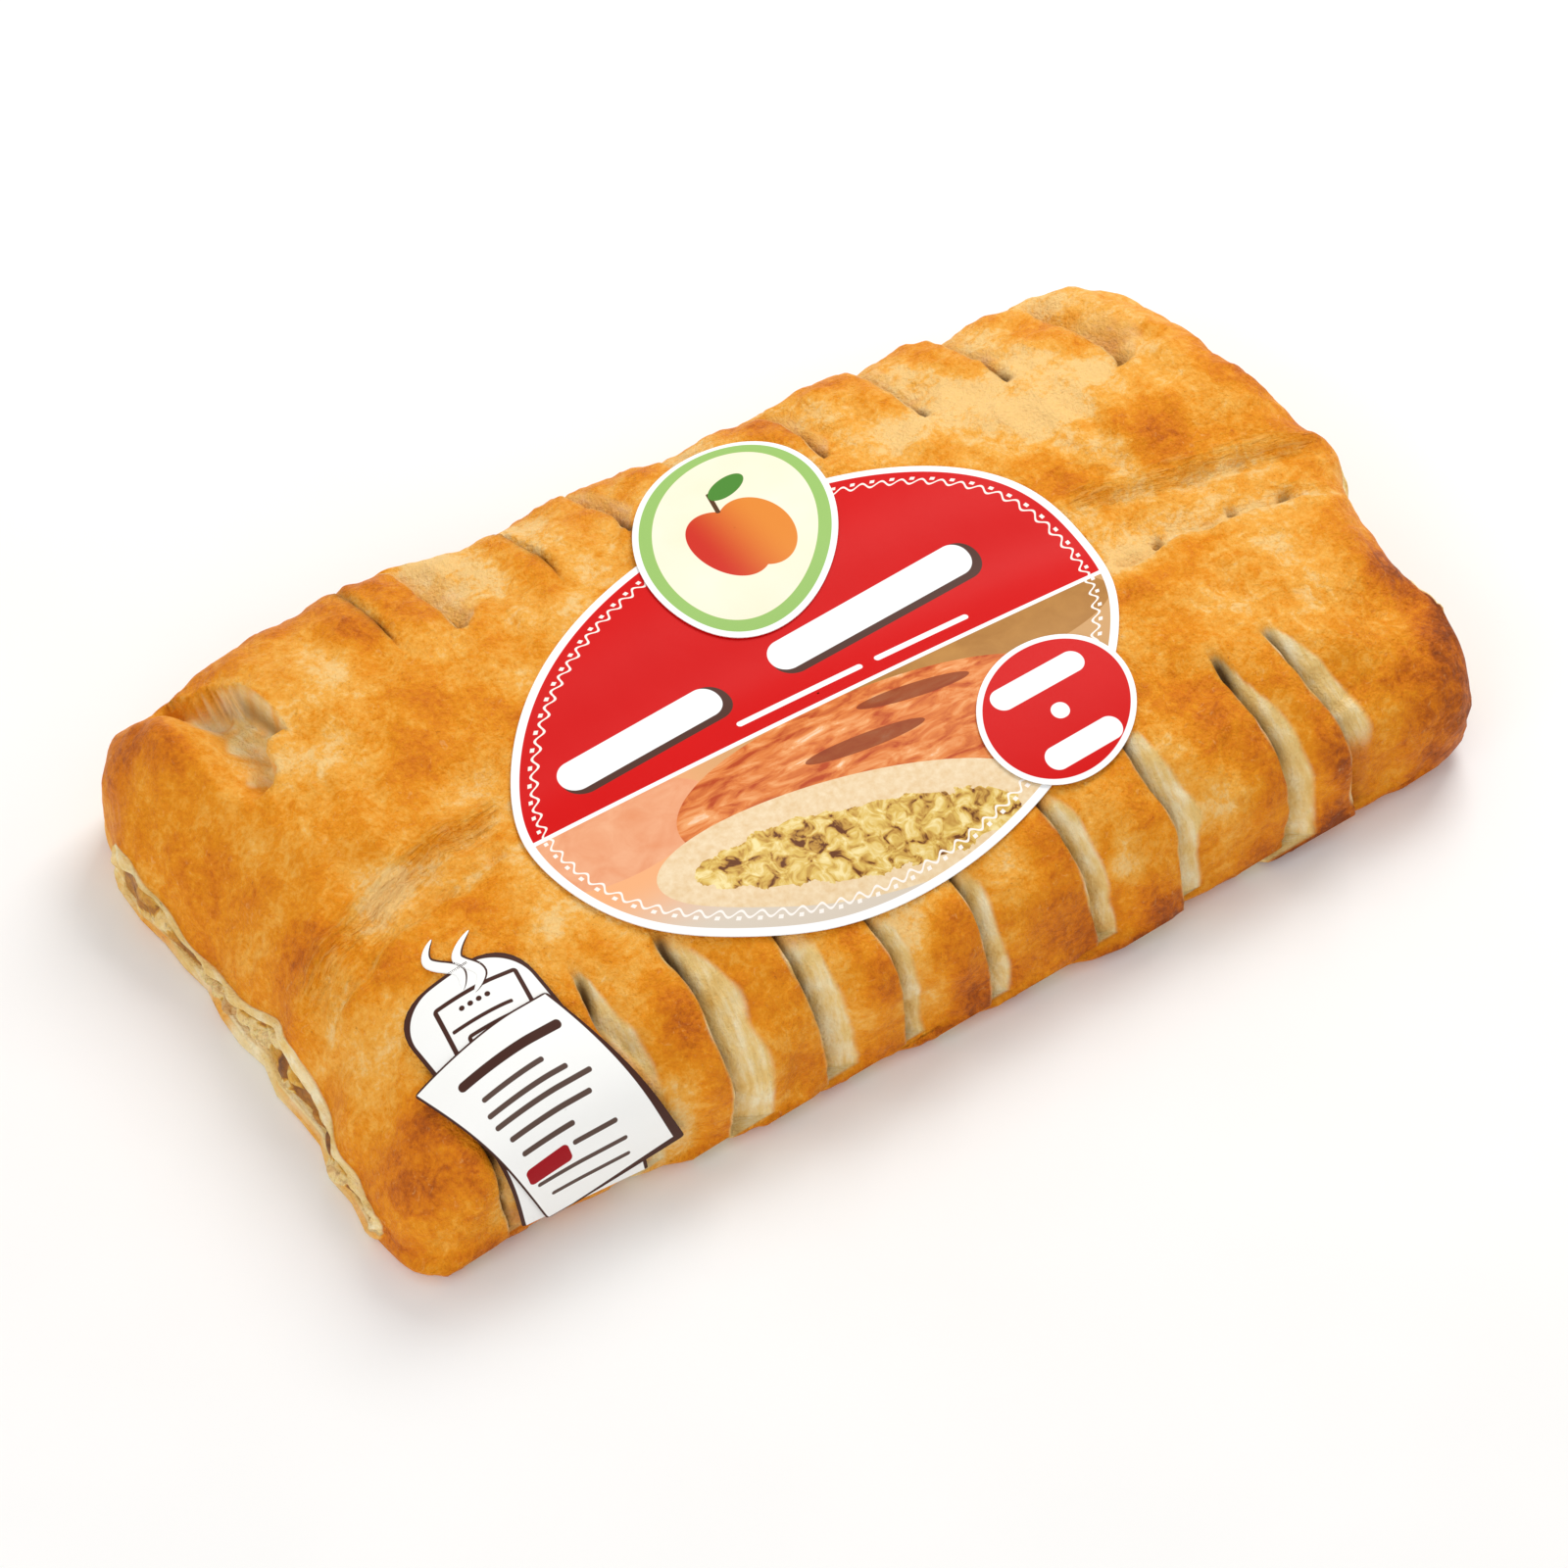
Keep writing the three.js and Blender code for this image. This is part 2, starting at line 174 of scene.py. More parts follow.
# %% The slits
FRONT_SLITS = (  # steep edge's x at the crown end and at the base end, widest opening, depth
    (-107, -106, 7.5, 4.6), (-92, -91, 5, 4.6), (-75, -78, 7.5, 5.6), (-57.5, -58, 10, 4.8),
    (-38.5, -35.5, 8.4, 4.8), (-21.5, -17.5, 6.2, 4.8), (-2.5, 1, 6, 5), (21, 28, 7.8, 5.4),
    (44.5, 47, 8.5, 5), (72, 73, 6.4, 4.8), (84, 90.5, 9.6, 4.6),
)
REAR_SLITS = (  # steep edge's x, widest opening, depth, from s, to s
    (-104.5, 14, 8.6, 30, 66), (-61, 1.8, 2.4, 42, 76), (-49.5, 12.5, 5, 42, 69),
    (-24.5, 1.6, 2.4, 40, 76), (-6, 7.5, 4, 44, 80), (14, 5, 4, 44, 80), (38, 7, 4.2, 41, 72),
    (61, 8, 4.2, 40, 80), (81, 8, 4.2, 39, 80), (101, 13, 6, 31, 72),
)
FRONT_REACH = (-43.0, -95.0)
REAR_LEAN = -7.0
THIN_CRACK = 3.0
PALE_LIMIT = 78.0  # past this place along the roll the slits browned in their lower half


def slit_table():
    """One row for each slit: column of the steep edge, lean, width, depth, from s, to s."""
    rows = []
    for x_top, x_base, width, depth in FRONT_SLITS:
        rows.append((x_top, x_base - x_top, width, depth, *FRONT_REACH))
    for x, width, depth, start, stop in REAR_SLITS:
        rows.append((x, REAR_LEAN, width, depth, start, stop))
    return np.array(rows, dtype=float)


SLITS = slit_table()
FRONT = SLITS[:, 4] < 0
print("slits in the front flap and in the rear flap:", FRONT.sum(), (~FRONT).sum())

# %% The grid: columns along the roll, rows round it
COLUMNS = 372
TOP_ROWS = 168
ROUNDING_ROWS = 4
BASE_ROWS = 14


def crowded_columns():
    """Columns from end to end, closer together at the slits' steep walls and at the ends."""
    x = np.linspace(-HALF, HALF, 6001)
    density = 1 + 2.5 * bell(x + HALF, 9) + 1.5 * bell(x - HALF, 5)
    for column, _, width, *_ in SLITS:
        density += 3.4 * bell(x - column - 0.4, 1.3) + 0.8 * bell(x - column - width / 2, width * 0.6)
    total = np.cumsum(density)
    return np.interp(np.linspace(total[0], total[-1], COLUMNS), total, x)


def follow_slits(column, s):
    """The place along the roll of each column at distance s: between the crown and the sides
    the columns lean with the slits, and in between they share the lean out evenly."""
    front = np.concatenate([[-HALF], SLITS[FRONT, 0], [HALF]])
    rear = np.concatenate([[-HALF], SLITS[~FRONT, 0], [HALF]])
    front_lean = np.interp(column, front, np.concatenate([[0], SLITS[FRONT, 1], [0]]))
    rear_lean = np.interp(column, rear, np.concatenate([[0], SLITS[~FRONT, 1], [0]]))
    front_along = np.clip((s - FRONT_REACH[0]) / (FRONT_REACH[1] - FRONT_REACH[0]), 0, 1)
    rear_along = np.clip((s - 38) / (REAR_S - 38), 0, 1)
    return column + front_lean * front_along + rear_lean * rear_along


columns = crowded_columns()
top_s = np.linspace(FRONT_S, REAR_S, TOP_ROWS)
grid_c, grid_s = np.meshgrid(columns, top_s, indexing="ij")
grid_x = follow_slits(grid_c, grid_s)
print("columns, rows over the top:", grid_c.shape)

# %% [markdown]
# Unevenness. Dough rises as it likes, so the crust has soft bumps of every size. A sum of
# cosine waves in random directions gives such a field, and the wavelength says how large the
# bumps are. It needs no lookup table, and the same seed always gives the same crust.

# %% Soft random relief
def waves(a, b, wavelength, seed, count=26):
    """Smooth noise between about -1 and 1 over the plane (a, b): the mean of cosine waves whose
    directions are random and whose lengths lie near the wavelength."""
    rng = np.random.default_rng(seed)
    turn = rng.uniform(0, 2 * np.pi, count)
    pitch = 2 * np.pi / (wavelength * rng.uniform(0.7, 1.5, count))
    phase = rng.uniform(0, 2 * np.pi, count)
    total = np.zeros(np.broadcast(a, b).shape)
    for k, t, p in zip(pitch, turn, phase):
        total += np.cos(k * (a * np.cos(t) + b * np.sin(t)) + p)
    return total / math.sqrt(count / 2) / 1.6


def surface_normals(points):
    """Unit normals of a grid of points: the cross product of its two directions."""
    along = np.gradient(points, axis=0)
    across = np.gradient(points, axis=1)
    normal = np.cross(along, across)
    return normal / np.maximum(np.linalg.norm(normal, axis=-1, keepdims=True), 1e-9)


# %% Grooves and what they do to the dough
def slit_fields(column, s):
    """Depth of the grooves, sideways shift, how pale the dough is there, and painted shade: how dark the
    groove floor is painted, for the shadow under the overhanging edges.
    Across a slit, q runs from 0 at the crisp left edge to 1 where the right wall meets the crust:
    the depth jumps to its full value within a tenth of the width and then eases back."""
    depth = np.zeros(column.shape)
    shift = np.zeros(column.shape)
    pale = np.zeros(column.shape)
    floor = np.zeros(column.shape)
    for number, (place, _, width, deep, start, stop) in enumerate(SLITS):
        along = (s - start) / (stop - start)
        if start < 0:  # the front slits stay open down to the base
            lens = smooth(-0.03, 0.42, along) ** 0.8
        elif width > 10:
            uneven = along + 0.1 * waves(column, s, 13, 700 + number)
            lens = smooth(-0.05, 0.2, uneven) * smooth(1.04, 0.74, uneven)
        else:
            lens = smooth(-0.03, 0.3, along) * smooth(1.02, 0.7, along)
        here = (along > -0.03) & (along < 1.25)
        wobble = 0.55 * waves(column * 0, s, 24, 900 + number)
        open_width = width * (0.25 + 0.75 * lens)
        offset = column - place - wobble
        q = offset / open_width
        bowl = width > 13
        if bowl:  # a soft slope on the left and a wall on the right
            groove = smooth(-0.25, 0.6, q) * (1 - smooth(0.86, 1.05, q)) * lens
        else:
            groove = smooth(-0.015, 0.1 + 0.4 / width, q) * (1 - smooth(0.02, 1.12, q) ** 0.75) * lens
        pillow = bell(offset + 2.6, 3.6) * lens
        if start < 0:  # the strips bulge where they come down to the base
            pillow = pillow + 0.9 * bell(offset + 6.0, 5.0) * smooth(0.75, 1.1, along)
        lip = bell(offset - open_width, width * 0.5) * lens * here
        depth += deep * groove + lip - 0.6 * pillow
        if bowl:
            bare = smooth(0.15, 0.6, q + 0.14 * waves(column, s, 9, 500)) * smooth(1.12, 0.98, q) * lens
            pale = np.maximum(pale, bare * (0.7 + 0.2 * waves(column, s, 5, 501)))
            # painted shade: a dark line where the bowl's right wall meets its floor, for the shadow in
            # that crevice
            floor = np.maximum(floor, 0.6 * bell(q - 0.93, 0.05) * lens)
            continue
        shift += (1.3 * bell(offset + 0.1, 1.1) - 0.9 * bell(q - 0.13, 0.1)) * lens * min(deep / 5, 1)
        if width < THIN_CRACK:
            # painted shade: a thin crack is painted dark all along, for the shadow inside it
            floor = np.maximum(floor, bell(q - 0.3, 0.55) * lens)
            continue
        ragged = 0.05 * waves(column, s, 12, 300 + number)
        cut = smooth(-0.02, 0.03, q) * (1 - smooth(0.72, 1.08, q + ragged))
        cut *= 1.0 if start < 0 else 0.42
        cut *= 1 - 0.75 * smooth(PALE_LIMIT, PALE_LIMIT + 6, place) * smooth(0.5, 0.75, along)
        rim = (0.5 + 0.25 * waves(column, s, 8, 400 + number)) * bell(offset + 0.15, 0.4)
        cut = np.maximum(cut, rim)
        pale = np.maximum(pale, cut * smooth(0.04, 0.3, lens))
        upper = smooth(1.0, 0.35, along)
        # painted shade: a dark band just right of the crisp edge, strongest in the upper part, for the
        # shadow under the overhanging strip
        dark = bell(offset - 1.3, 0.7 + 0.5 * upper) * smooth(0.06, 0.3, lens)
        dark *= 0.45 + 0.55 * upper + 0.35 * waves(column * 0, s, 9, 600 + number)
        floor = np.maximum(floor, np.clip(dark, 0, 1))
        depth += 1.2 * dark * (along < 1.1)
    return depth, shift, pale, floor


print("reach of the front slits round the section, mm:", FRONT_REACH[0] - FRONT_REACH[1])

# %% The seam
# Two lines run along the crown: the rear flap ends at the upper one, the front flap's fold
# comes up to the lower one, and a smooth band of dough lies between them.
SEAM_X = np.array([-125, -109, -87, -65, 0, 73, 95, 119, 125.0])
UPPER_Y = np.array([-16, -12, -7, -3, 3, 3, -3, -8, -10.0])
LOWER_Y = np.array([-24, -20, -15, -13, -12, -13.6, -15.5, -20, -23.0])


def curved(x, knots_x, knots_y, blur=9.0):
    """A soft line through the knots: the broken line averaged over a short stretch of x."""
    offsets = np.linspace(-blur, blur, 7)
    return np.mean([np.interp(x + step, knots_x, knots_y) for step in offsets], axis=0)


def left_part(x):
    """1 near the left end, where the seam baked shut without tearing."""
    return smooth(-55, -75, x)


def seam_profile(x, y):
    """Height of the seam's parts over the smooth valley: the rear flap's edge stands up and
    drops in fine layers, the band swells a little, and the lower line is a ragged crease with
    small torn holes."""
    upper = y - curved(x, SEAM_X, UPPER_Y) - 0.5 * waves(x, y * 0, 17, 41)
    lower = y - curved(x, SEAM_X, LOWER_Y) - 0.8 * waves(x, y * 0, 13, 42)
    ends = smooth(125, 108, np.abs(x))
    edge = (1.1 + 0.6 * left_part(x)) * (bell(upper - 2.2, 2.6) - 1.1 * bell(upper + 1.4, 2.0))
    layers = 0.2 * np.sin(upper * 2 * np.pi / 1.3 + 1.7 * waves(x, y, 16, 43)) * bell(upper, 3.0)
    band = 0.8 * bell((upper + lower) / 2, 4.0)
    ragged = np.clip(0.7 + 0.55 * waves(x, y * 0.4, 7, 44), 0.1, 1.6)
    crease = -1.7 * bell(lower, 1.1) * ragged + 0.8 * bell(lower + 2.4, 2.2) * ragged
    torn = smooth(0.55, 1.05, waves(x, y * 0, 7, 45)) * (1 - left_part(x))
    holes = -2.6 * bell(lower - 0.4, 1.1) * torn
    fold = 1.8 * smooth(-60, -95, x) * bell(lower - 3.5, 3.2)
    total = (edge + layers + band) * (0.4 + 0.6 * ends) + (crease + holes) * ends - fold
    return total, upper, lower


print("seam's upper and lower line at mid length, y mm:", [
    round(float(curved(0, SEAM_X, line)), 1) for line in (UPPER_Y, LOWER_Y)
])

# %% [markdown]
# The labels come next, before the crust is finished, because the crust lies still under them.
# On the real pack they are printed on a clear film that is drawn tight over the roll. Each is
# made here as a thin sheet that follows the crust: a point of the print has a place along the
# roll and a distance round the section, and the outline formula carries it into space.

# %% Labels as shapes on the unrolled crust
LIFT, STACK, SHEET = 0.35, 0.5, 0.22  # gap over the crust, extra for the upper layer, thickness
LABELS = {  # place along and round the roll, half axes, turn in degrees
    "label_oval": (1.6, -12.2, 69.4, 48.9, 13.3),
    "badge_round": (10.6, 32.7, 20.7, 28.7, -34.0),
    "badge_small": (38.9, -40.5, 18.3, 15.3, 31.8),
}
CARD_CORNERS = np.array([(-107.6, -33.5), (-81.2, -33.5), (-74.7, -93), (-101.6, -93.0)])
NOTE_CORNERS = np.array([(-110.4, -49.6), (-80.9, -47.2), (-66.9, -87), (-96.6, -93.3)])


def ellipse_frame(x, s, label):
    """Place of a point in a label's own axes, mm."""
    cx, cs, _, _, turn = LABELS[label]
    t = math.radians(turn)
    along, across = x - cx, s - cs
    return along * math.cos(t) + across * math.sin(t), across * math.cos(t) - along * math.sin(t)


def inside_polygon(x, s, corners):
    """Distance to the nearest side of a convex polygon, positive inside."""
    nearest = np.full(np.broadcast(x, s).shape, 1e3)
    middle = corners.mean(axis=0)
    for start, stop in zip(corners, np.roll(corners, -1, axis=0)):
        side = (stop - start) / np.linalg.norm(stop - start)
        normal = np.array([-side[1], side[0]])
        normal *= np.sign(np.dot(middle - start, normal))
        nearest = np.minimum(nearest, (x - start[0]) * normal[0] + (s - start[1]) * normal[1])
    return nearest


def covered(x, s):
    """1 where a label lies on the crust, fading out over the next few millimetres."""
    cover = np.zeros(np.broadcast(x, s).shape)
    for label, (_, _, a, b, _) in LABELS.items():
        u, v = ellipse_frame(x, s, label)
        reach = np.sqrt((u / a) ** 2 + (v / b) ** 2)
        cover = np.maximum(cover, smooth(1.09, 1.01, reach))
    for corners in (CARD_CORNERS, NOTE_CORNERS):
        cover = np.maximum(cover, smooth(-4, -0.5, inside_polygon(x, s, corners)))
    return cover


def valley(x, y):
    """How far the crust sinks into the seam's broad valley."""
    return SEAM_DEPTH * bell(y - seam_y(x), SEAM_WIDTH) * fullness(x)


# %% Relief of the crust
BULGES = (  # hills and dents of the crust, mm
    (2.6, -75, 34, 66, 12),
    (0.6, 88, 26, 66, 13),
    (1.6, -116, 9, 62, 14),
    (1.6, -50, 9, -86, 10),
    (-1.8, -84, 16, -98, 10),
    (1.2, 116, 8, 30, 30),
    (-1.6, 118, 10, -52, 12),
    (2.0, 116, 14, -84, 9),
)


def crust_relief(column, x, s, points):
    """Height over the smooth outline, mm, and the fields that colour the crust."""
    y = points[..., 1]
    cover = covered(x, s)
    seam, upper, lower = seam_profile(x, y)
    depth, shift, pale, floor = slit_fields(column, s)
    soft = 0.85 * waves(x, s, 34, 11) + 0.5 * waves(x, s, 15, 12)
    fine = 0.2 * waves(x, s * 1.3, 6, 13) + 0.1 * waves(x, s * 0.7, 3.1, 14)
    blisters = 0.5 * np.maximum(waves(x, s, 9, 15) - 0.75, 0)
    ripples = 0.45 * np.sin(x * 2 * np.pi / 9 + waves(x, s, 30, 16))
    ripples = ripples * bell(x - 86, 18) * bell(s - 26, 14)
    bulges = hills(BULGES, x, s) + 1.6 * smooth(65, 90, x) * bell(s + 98, 12)
    free = 1 - cover
    height = (soft + fine + blisters + ripples) * (0.15 + 0.85 * free) + bulges
    height = height + seam * (0.2 + 0.8 * free)
    height = height - depth * (0.3 + 0.7 * free) - 0.2 * cover
    height *= 0.25 + 0.75 * smooth(HALF, HALF - 5, np.abs(x))
    torn = bell(lower + 0.6, 1.5) * smooth(-0.3, 0.9, waves(x, s, 4.5, 46))
    combed = 0.8 * bell(upper + 0.6, 1.9) * smooth(0.0, 1.0, waves(x * 0.4, s, 2.2, 47))
    # painted shade: the torn holes along the seam's lower line are painted dark through the floor value
    holes = bell(lower - 0.4, 1.0) * smooth(0.6, 1.1, waves(x, s * 0, 7, 45))
    holes = holes * smooth(125, 108, x) * (1 - left_part(x))
    bare_seam = 0.6 * (1 - left_part(x)) * np.maximum(torn, combed)
    comb = (bell(upper - 0.5, 4.5) + 0.6 * bell(lower, 3.0)) * free * smooth(125, 114, np.abs(x))
    fields = {
        "pale": np.maximum(pale * (0.4 + 0.6 * free), bare_seam),
        "floor": np.maximum(floor, 0.8 * holes),
        "upper": upper,
        "lower": lower,
        "depth": depth,
        "comb": comb,
    }
    return height, shift, fields


smooth_top = outline(grid_x, angle_at(grid_s))
smooth_top[..., 2] -= valley(grid_x, smooth_top[..., 1])
normals = surface_normals(smooth_top)
height, shift, fields = crust_relief(grid_c, grid_x, grid_s, smooth_top)
crust_top = smooth_top + normals * height[..., None]
crust_top[..., 0] += shift
print("relief from", round(float(height.min()), 1), "to", round(float(height.max()), 1), "mm")
print("deepest groove, mm:", round(float(fields["depth"].max()), 2))

# %% [markdown]
# The crust is one closed skin. Its outside runs from the left end to the right end, turns over
# the cut rim, comes back along the inside over the filling, and closes at the left rim. Seen as
# a grid, that is a torus: columns go round through the roll, rows go round the section. One
# pair of nested loops of points gives every face, and no seam is left open.

# %% The crust's rows below the widest line, and its inside
RIM_COLUMNS = 9
INNER_COLUMNS = 26
BASE_Z = 0.0


def under_rows(side_low, side_high, middle, half, x, top_z, base_z, inset):
    """Rows from the rear's widest line under the base to the front's widest line: a quarter
    round, the flat base, and a quarter round again."""
    turn = np.linspace(0, np.pi / 2, ROUNDING_ROWS + 2)[1:-1]
    across = np.linspace(1, -1, BASE_ROWS)
    carry = 0.6 + 0.4 * np.cos(turn)
    flat = (half[:, None] - inset) * across
    flat[:, 0] += 0.5 * side_high
    flat[:, -1] -= 0.5 * side_low
    y = np.concatenate([
        middle[:, None] + half[:, None] - inset * (1 - np.cos(turn)) + side_high[:, None] * carry,
        middle[:, None] + flat,
        middle[:, None] - half[:, None] + inset * (1 - np.cos(turn[::-1]))
        - side_low[:, None] * carry[::-1],
    ], axis=1)
    fall = np.sin(turn)
    z = np.concatenate([
        top_z[1][:, None] + (base_z - top_z[1][:, None]) * fall,
        np.full((len(x), BASE_ROWS), base_z),
        top_z[0][:, None] + (base_z - top_z[0][:, None]) * fall[::-1],
    ], axis=1)
    return np.stack([np.broadcast_to(x[:, None], y.shape), y, z], -1)


def ragged_ends(x, y, z, seed=51):
    """How far the cut ends wander out and in along the section, fading a little way inwards.
    At the left end the bottom dough reaches out further than the top."""
    side = np.sign(x) * 40.0
    wander = 1.3 * waves(y, side, 24, seed) + 0.35 * waves(y, side, 11, seed + 1)
    lower_lip = 1.6 * bell(y + 16, 20) * smooth(12, 4, z) * smooth(110, 124, -x)
    drawn_in = 3.6 * bell(y + 6, 36) * smooth(104, 124, -x)
    pushed_out = 5.0 * bell(y + 6, 17) * smooth(98, 125, x)
    return wander * np.sign(x) * smooth(HALF - 12, HALF, np.abs(x)) - lower_lip + drawn_in + pushed_out


def outer_loop():
    """The outside of the crust as a grid of whole loops round the section."""
    x = crust_top[:, -1, 0]
    middle, half = sides(columns)
    bulge_front = -(crust_top[:, 0, 1] - (middle - half))
    bulge_rear = crust_top[:, -1, 1] - (middle + half)
    ends = crust_top[:, 0, 2], crust_top[:, -1, 2]
    below = under_rows(bulge_front, bulge_rear, middle, half, x, ends, BASE_Z, BASE_INSET)
    return np.concatenate([crust_top, below], axis=1)


def end_roof(x, y):
    """Thickness of the crust over the filling: thin at the cut ends, thicker under the seam,
    and thick enough further in for the slits to stay inside it."""
    end = np.where(x < 0, 2.0 + 2.8 * bell(y + 14, 9) + 1.2 * bell(y - 56, 8), ROOF)
    return end + 11.0 * smooth(0, 15, HALF - np.abs(x))


def inner_loop(x):
    """The inside of the crust: the outline drawn in by the wall, under the roof and over a
    level floor."""
    middle, half = sides(x)
    inner_half = half - WALL
    angle = angle_at(top_s)[None, :]
    top = outline(x[:, None], angle)
    y = middle[:, None] + inner_half[:, None] * np.sin(angle)
    sunk = valley(x[:, None], y)
    z = np.maximum(top[..., 2] - sunk - end_roof(x[:, None], y), FLOOR + CREVICE)
    top = np.stack([top[..., 0], y, z], -1)
    zero = np.zeros(len(x))
    below = under_rows(zero, zero, middle, inner_half, x, (z[:, 0], z[:, -1]), FLOOR, 1.0)
    return np.concatenate([top, below], axis=1)


def rim_loops(start, stop, outward, seed):
    """The cut end between the outer and the inner loop: a rounded edge about as thick as the
    dough, combed into thin layers that stand out by uneven amounts."""
    t = np.linspace(0, 1, RIM_COLUMNS + 2)[1:-1, None]
    row = np.arange(start.shape[0])[None, :]
    rim = start[None] + (stop - start)[None] * t[..., None]
    comb = 0.22 * np.sin(t * 2 * np.pi * 2.6 + 2.2 * waves(row * 1.0, t, 22, seed))
    ragged = 0.6 * waves(row * 1.0, t * 8, 11, seed + 1) * np.sin(np.pi * t)
    rim[..., 0] += outward * (1.2 * np.sin(np.pi * t) ** 0.6 + comb + ragged)
    return rim


inner_x = np.linspace(HALF, -HALF, INNER_COLUMNS)
outer = outer_loop()
inner = inner_loop(inner_x)
outer[..., 0] += ragged_ends(outer[..., 0], outer[..., 1], outer[..., 2])
inner[..., 0] += ragged_ends(inner[..., 0], inner[..., 1], inner[..., 2])
right_rim = rim_loops(outer[-1], inner[0], 1, 61)
left_rim = rim_loops(inner[-1], outer[0], -1, 63)
crust_points = np.concatenate([outer, right_rim, inner, left_rim])
print("crust loops and points in each:", crust_points.shape[:2])

# %% Meshes from grids
def grid_faces(across, down, wrap_across, wrap_down):
    """Four-sided faces of a grid, each as four point numbers, counted as the grid is laid out."""
    a = np.arange(across if wrap_across else across - 1)
    b = np.arange(down if wrap_down else down - 1)
    a, b = (side.ravel() for side in np.meshgrid(a, b, indexing="ij"))
    next_a, next_b = (a + 1) % across, (b + 1) % down
    return np.stack([a * down + b, next_a * down + b, next_a * down + next_b, a * down + next_b], 1)


def make_object(name, points, faces, material, values=None, flat=None):
    """A mesh object at the origin from points in millimetres, with named values on its points
    for the material to read, and a flat map of the print or of the unrolled crust."""
    mesh = bpy.data.meshes.new(name)
    points = points.reshape(-1, 3)
    mesh.from_pydata((points * MM).tolist(), [], faces.tolist())
    for key, value in (values or {}).items():
        layer = mesh.attributes.new(key, "FLOAT", "POINT")
        layer.data.foreach_set("value", np.ascontiguousarray(value, dtype=np.float32).ravel())
    if flat is not None:
        corner = np.zeros(len(mesh.loops), dtype=np.int64)
        mesh.loops.foreach_get("vertex_index", corner)
        layer = mesh.uv_layers.new(name="flat")
        layer.data.foreach_set("uv", flat.reshape(-1, 2)[corner].astype(np.float32).ravel())
    mesh.polygons.foreach_set("use_smooth", np.ones(len(mesh.polygons), dtype=bool))
    mesh.materials.append(material)
    mesh.update()
    thing = bpy.data.objects.new(name, mesh)
    bpy.context.scene.collection.objects.link(thing)
    print(name, "has", len(points), "points and", len(faces), "faces")
    return thing


# %% [markdown]
# Materials are small programs of nodes. A few helpers keep them short to write: one turns a
# colour from a paint chart into the linear values that light works with, one adds a node with
# its settings and links, and two more begin a material and end it with its surface shader.

# %% Helpers for materials
def linear(hex_colour):
    """A colour written #RRGGBB as linear red, green, blue and full opacity."""
    parts = [int(hex_colour[i:i + 2], 16) / 255 for i in (1, 3, 5)]
    return (*[p / 12.92 if p <= 0.04045 else ((p + 0.055) / 1.055) ** 2.4 for p in parts], 1.0)


USUAL = {"Mix": {"data_type": "RGBA"}, "MapRange": {"interpolation_type": "SMOOTHSTEP"}}


def add(tree, kind, inputs=(), out=0, stops=(), **settings):
    """Adds a node, sets its properties, fills or links its inputs, in their order or by name,
    and returns one output. A kind in capitals is a sum, such as MULTIPLY_ADD. A Mix mixes two
    colours, a MapRange rises softly from 0 to 1 between two values, and stops are a ramp's
    places and colours. A colour is written #RRGGBB."""
    if kind.isupper():
        kind, settings = "Math", {"operation": kind, **settings}
    node = tree.nodes.new("ShaderNode" + kind)
    for key, value in {**USUAL.get(kind, {}), **settings}.items():
        setattr(node, key, value)
    for _ in stops[2:]:
        node.color_ramp.elements.new(0.5)
    for number, (place, colour) in enumerate(stops):
        node.color_ramp.elements[number].position = place
        node.color_ramp.elements[number].color = linear(colour)
    shown = [socket for socket in node.inputs if socket.enabled]
    for key, value in inputs.items() if isinstance(inputs, dict) else enumerate(inputs):
        socket = node.inputs[key] if isinstance(key, str) else shown[key]
        if isinstance(value, bpy.types.NodeSocket):
            tree.links.new(value, socket)
        else:
            socket.default_value = linear(value) if isinstance(value, str) else value
    given = [socket for socket in node.outputs if socket.enabled]
    return node.outputs[out] if isinstance(out, str) else given[out] if given else None


def new_material(name):
    """An empty material and its tree of nodes."""
    material = bpy.data.materials.new(name)
    material.use_nodes = True
    tree = material.node_tree
    tree.nodes.clear()
    return material, tree


def finish_surface(tree, colour, roughness, bump=None, distance=0.0003, strength=1.0, **sockets):
    """Ends a material: one surface shader with colour, roughness and a bump height."""
    inputs = {"Base Color": colour, "Roughness": roughness}
    inputs.update(sockets)
    if bump is not None:
        height = {"Height": bump, "Distance": distance, "Strength": strength}
        inputs["Normal"] = add(tree, "Bump", height)
    shader = add(tree, "BsdfPrincipled", inputs)
    add(tree, "OutputMaterial", {"Surface": shader})


# %% [markdown]
# The crust's finish. Puff pastry is brushed with egg before baking, so its outside turns a warm
# gold that goes brown where the oven heat reaches first: on raised edges, at corners, on
# blisters. Where the cuts opened, dough shows that never saw the brush: dull, cream to
# straw-coloured, and full of thin layers. The mesh carries values on its points, such as how
# far a place is baked and how pale it is, and the material turns them into colour with noise at
# several sizes over them: patches of centimetres, mottling of millimetres, specks of tenths.

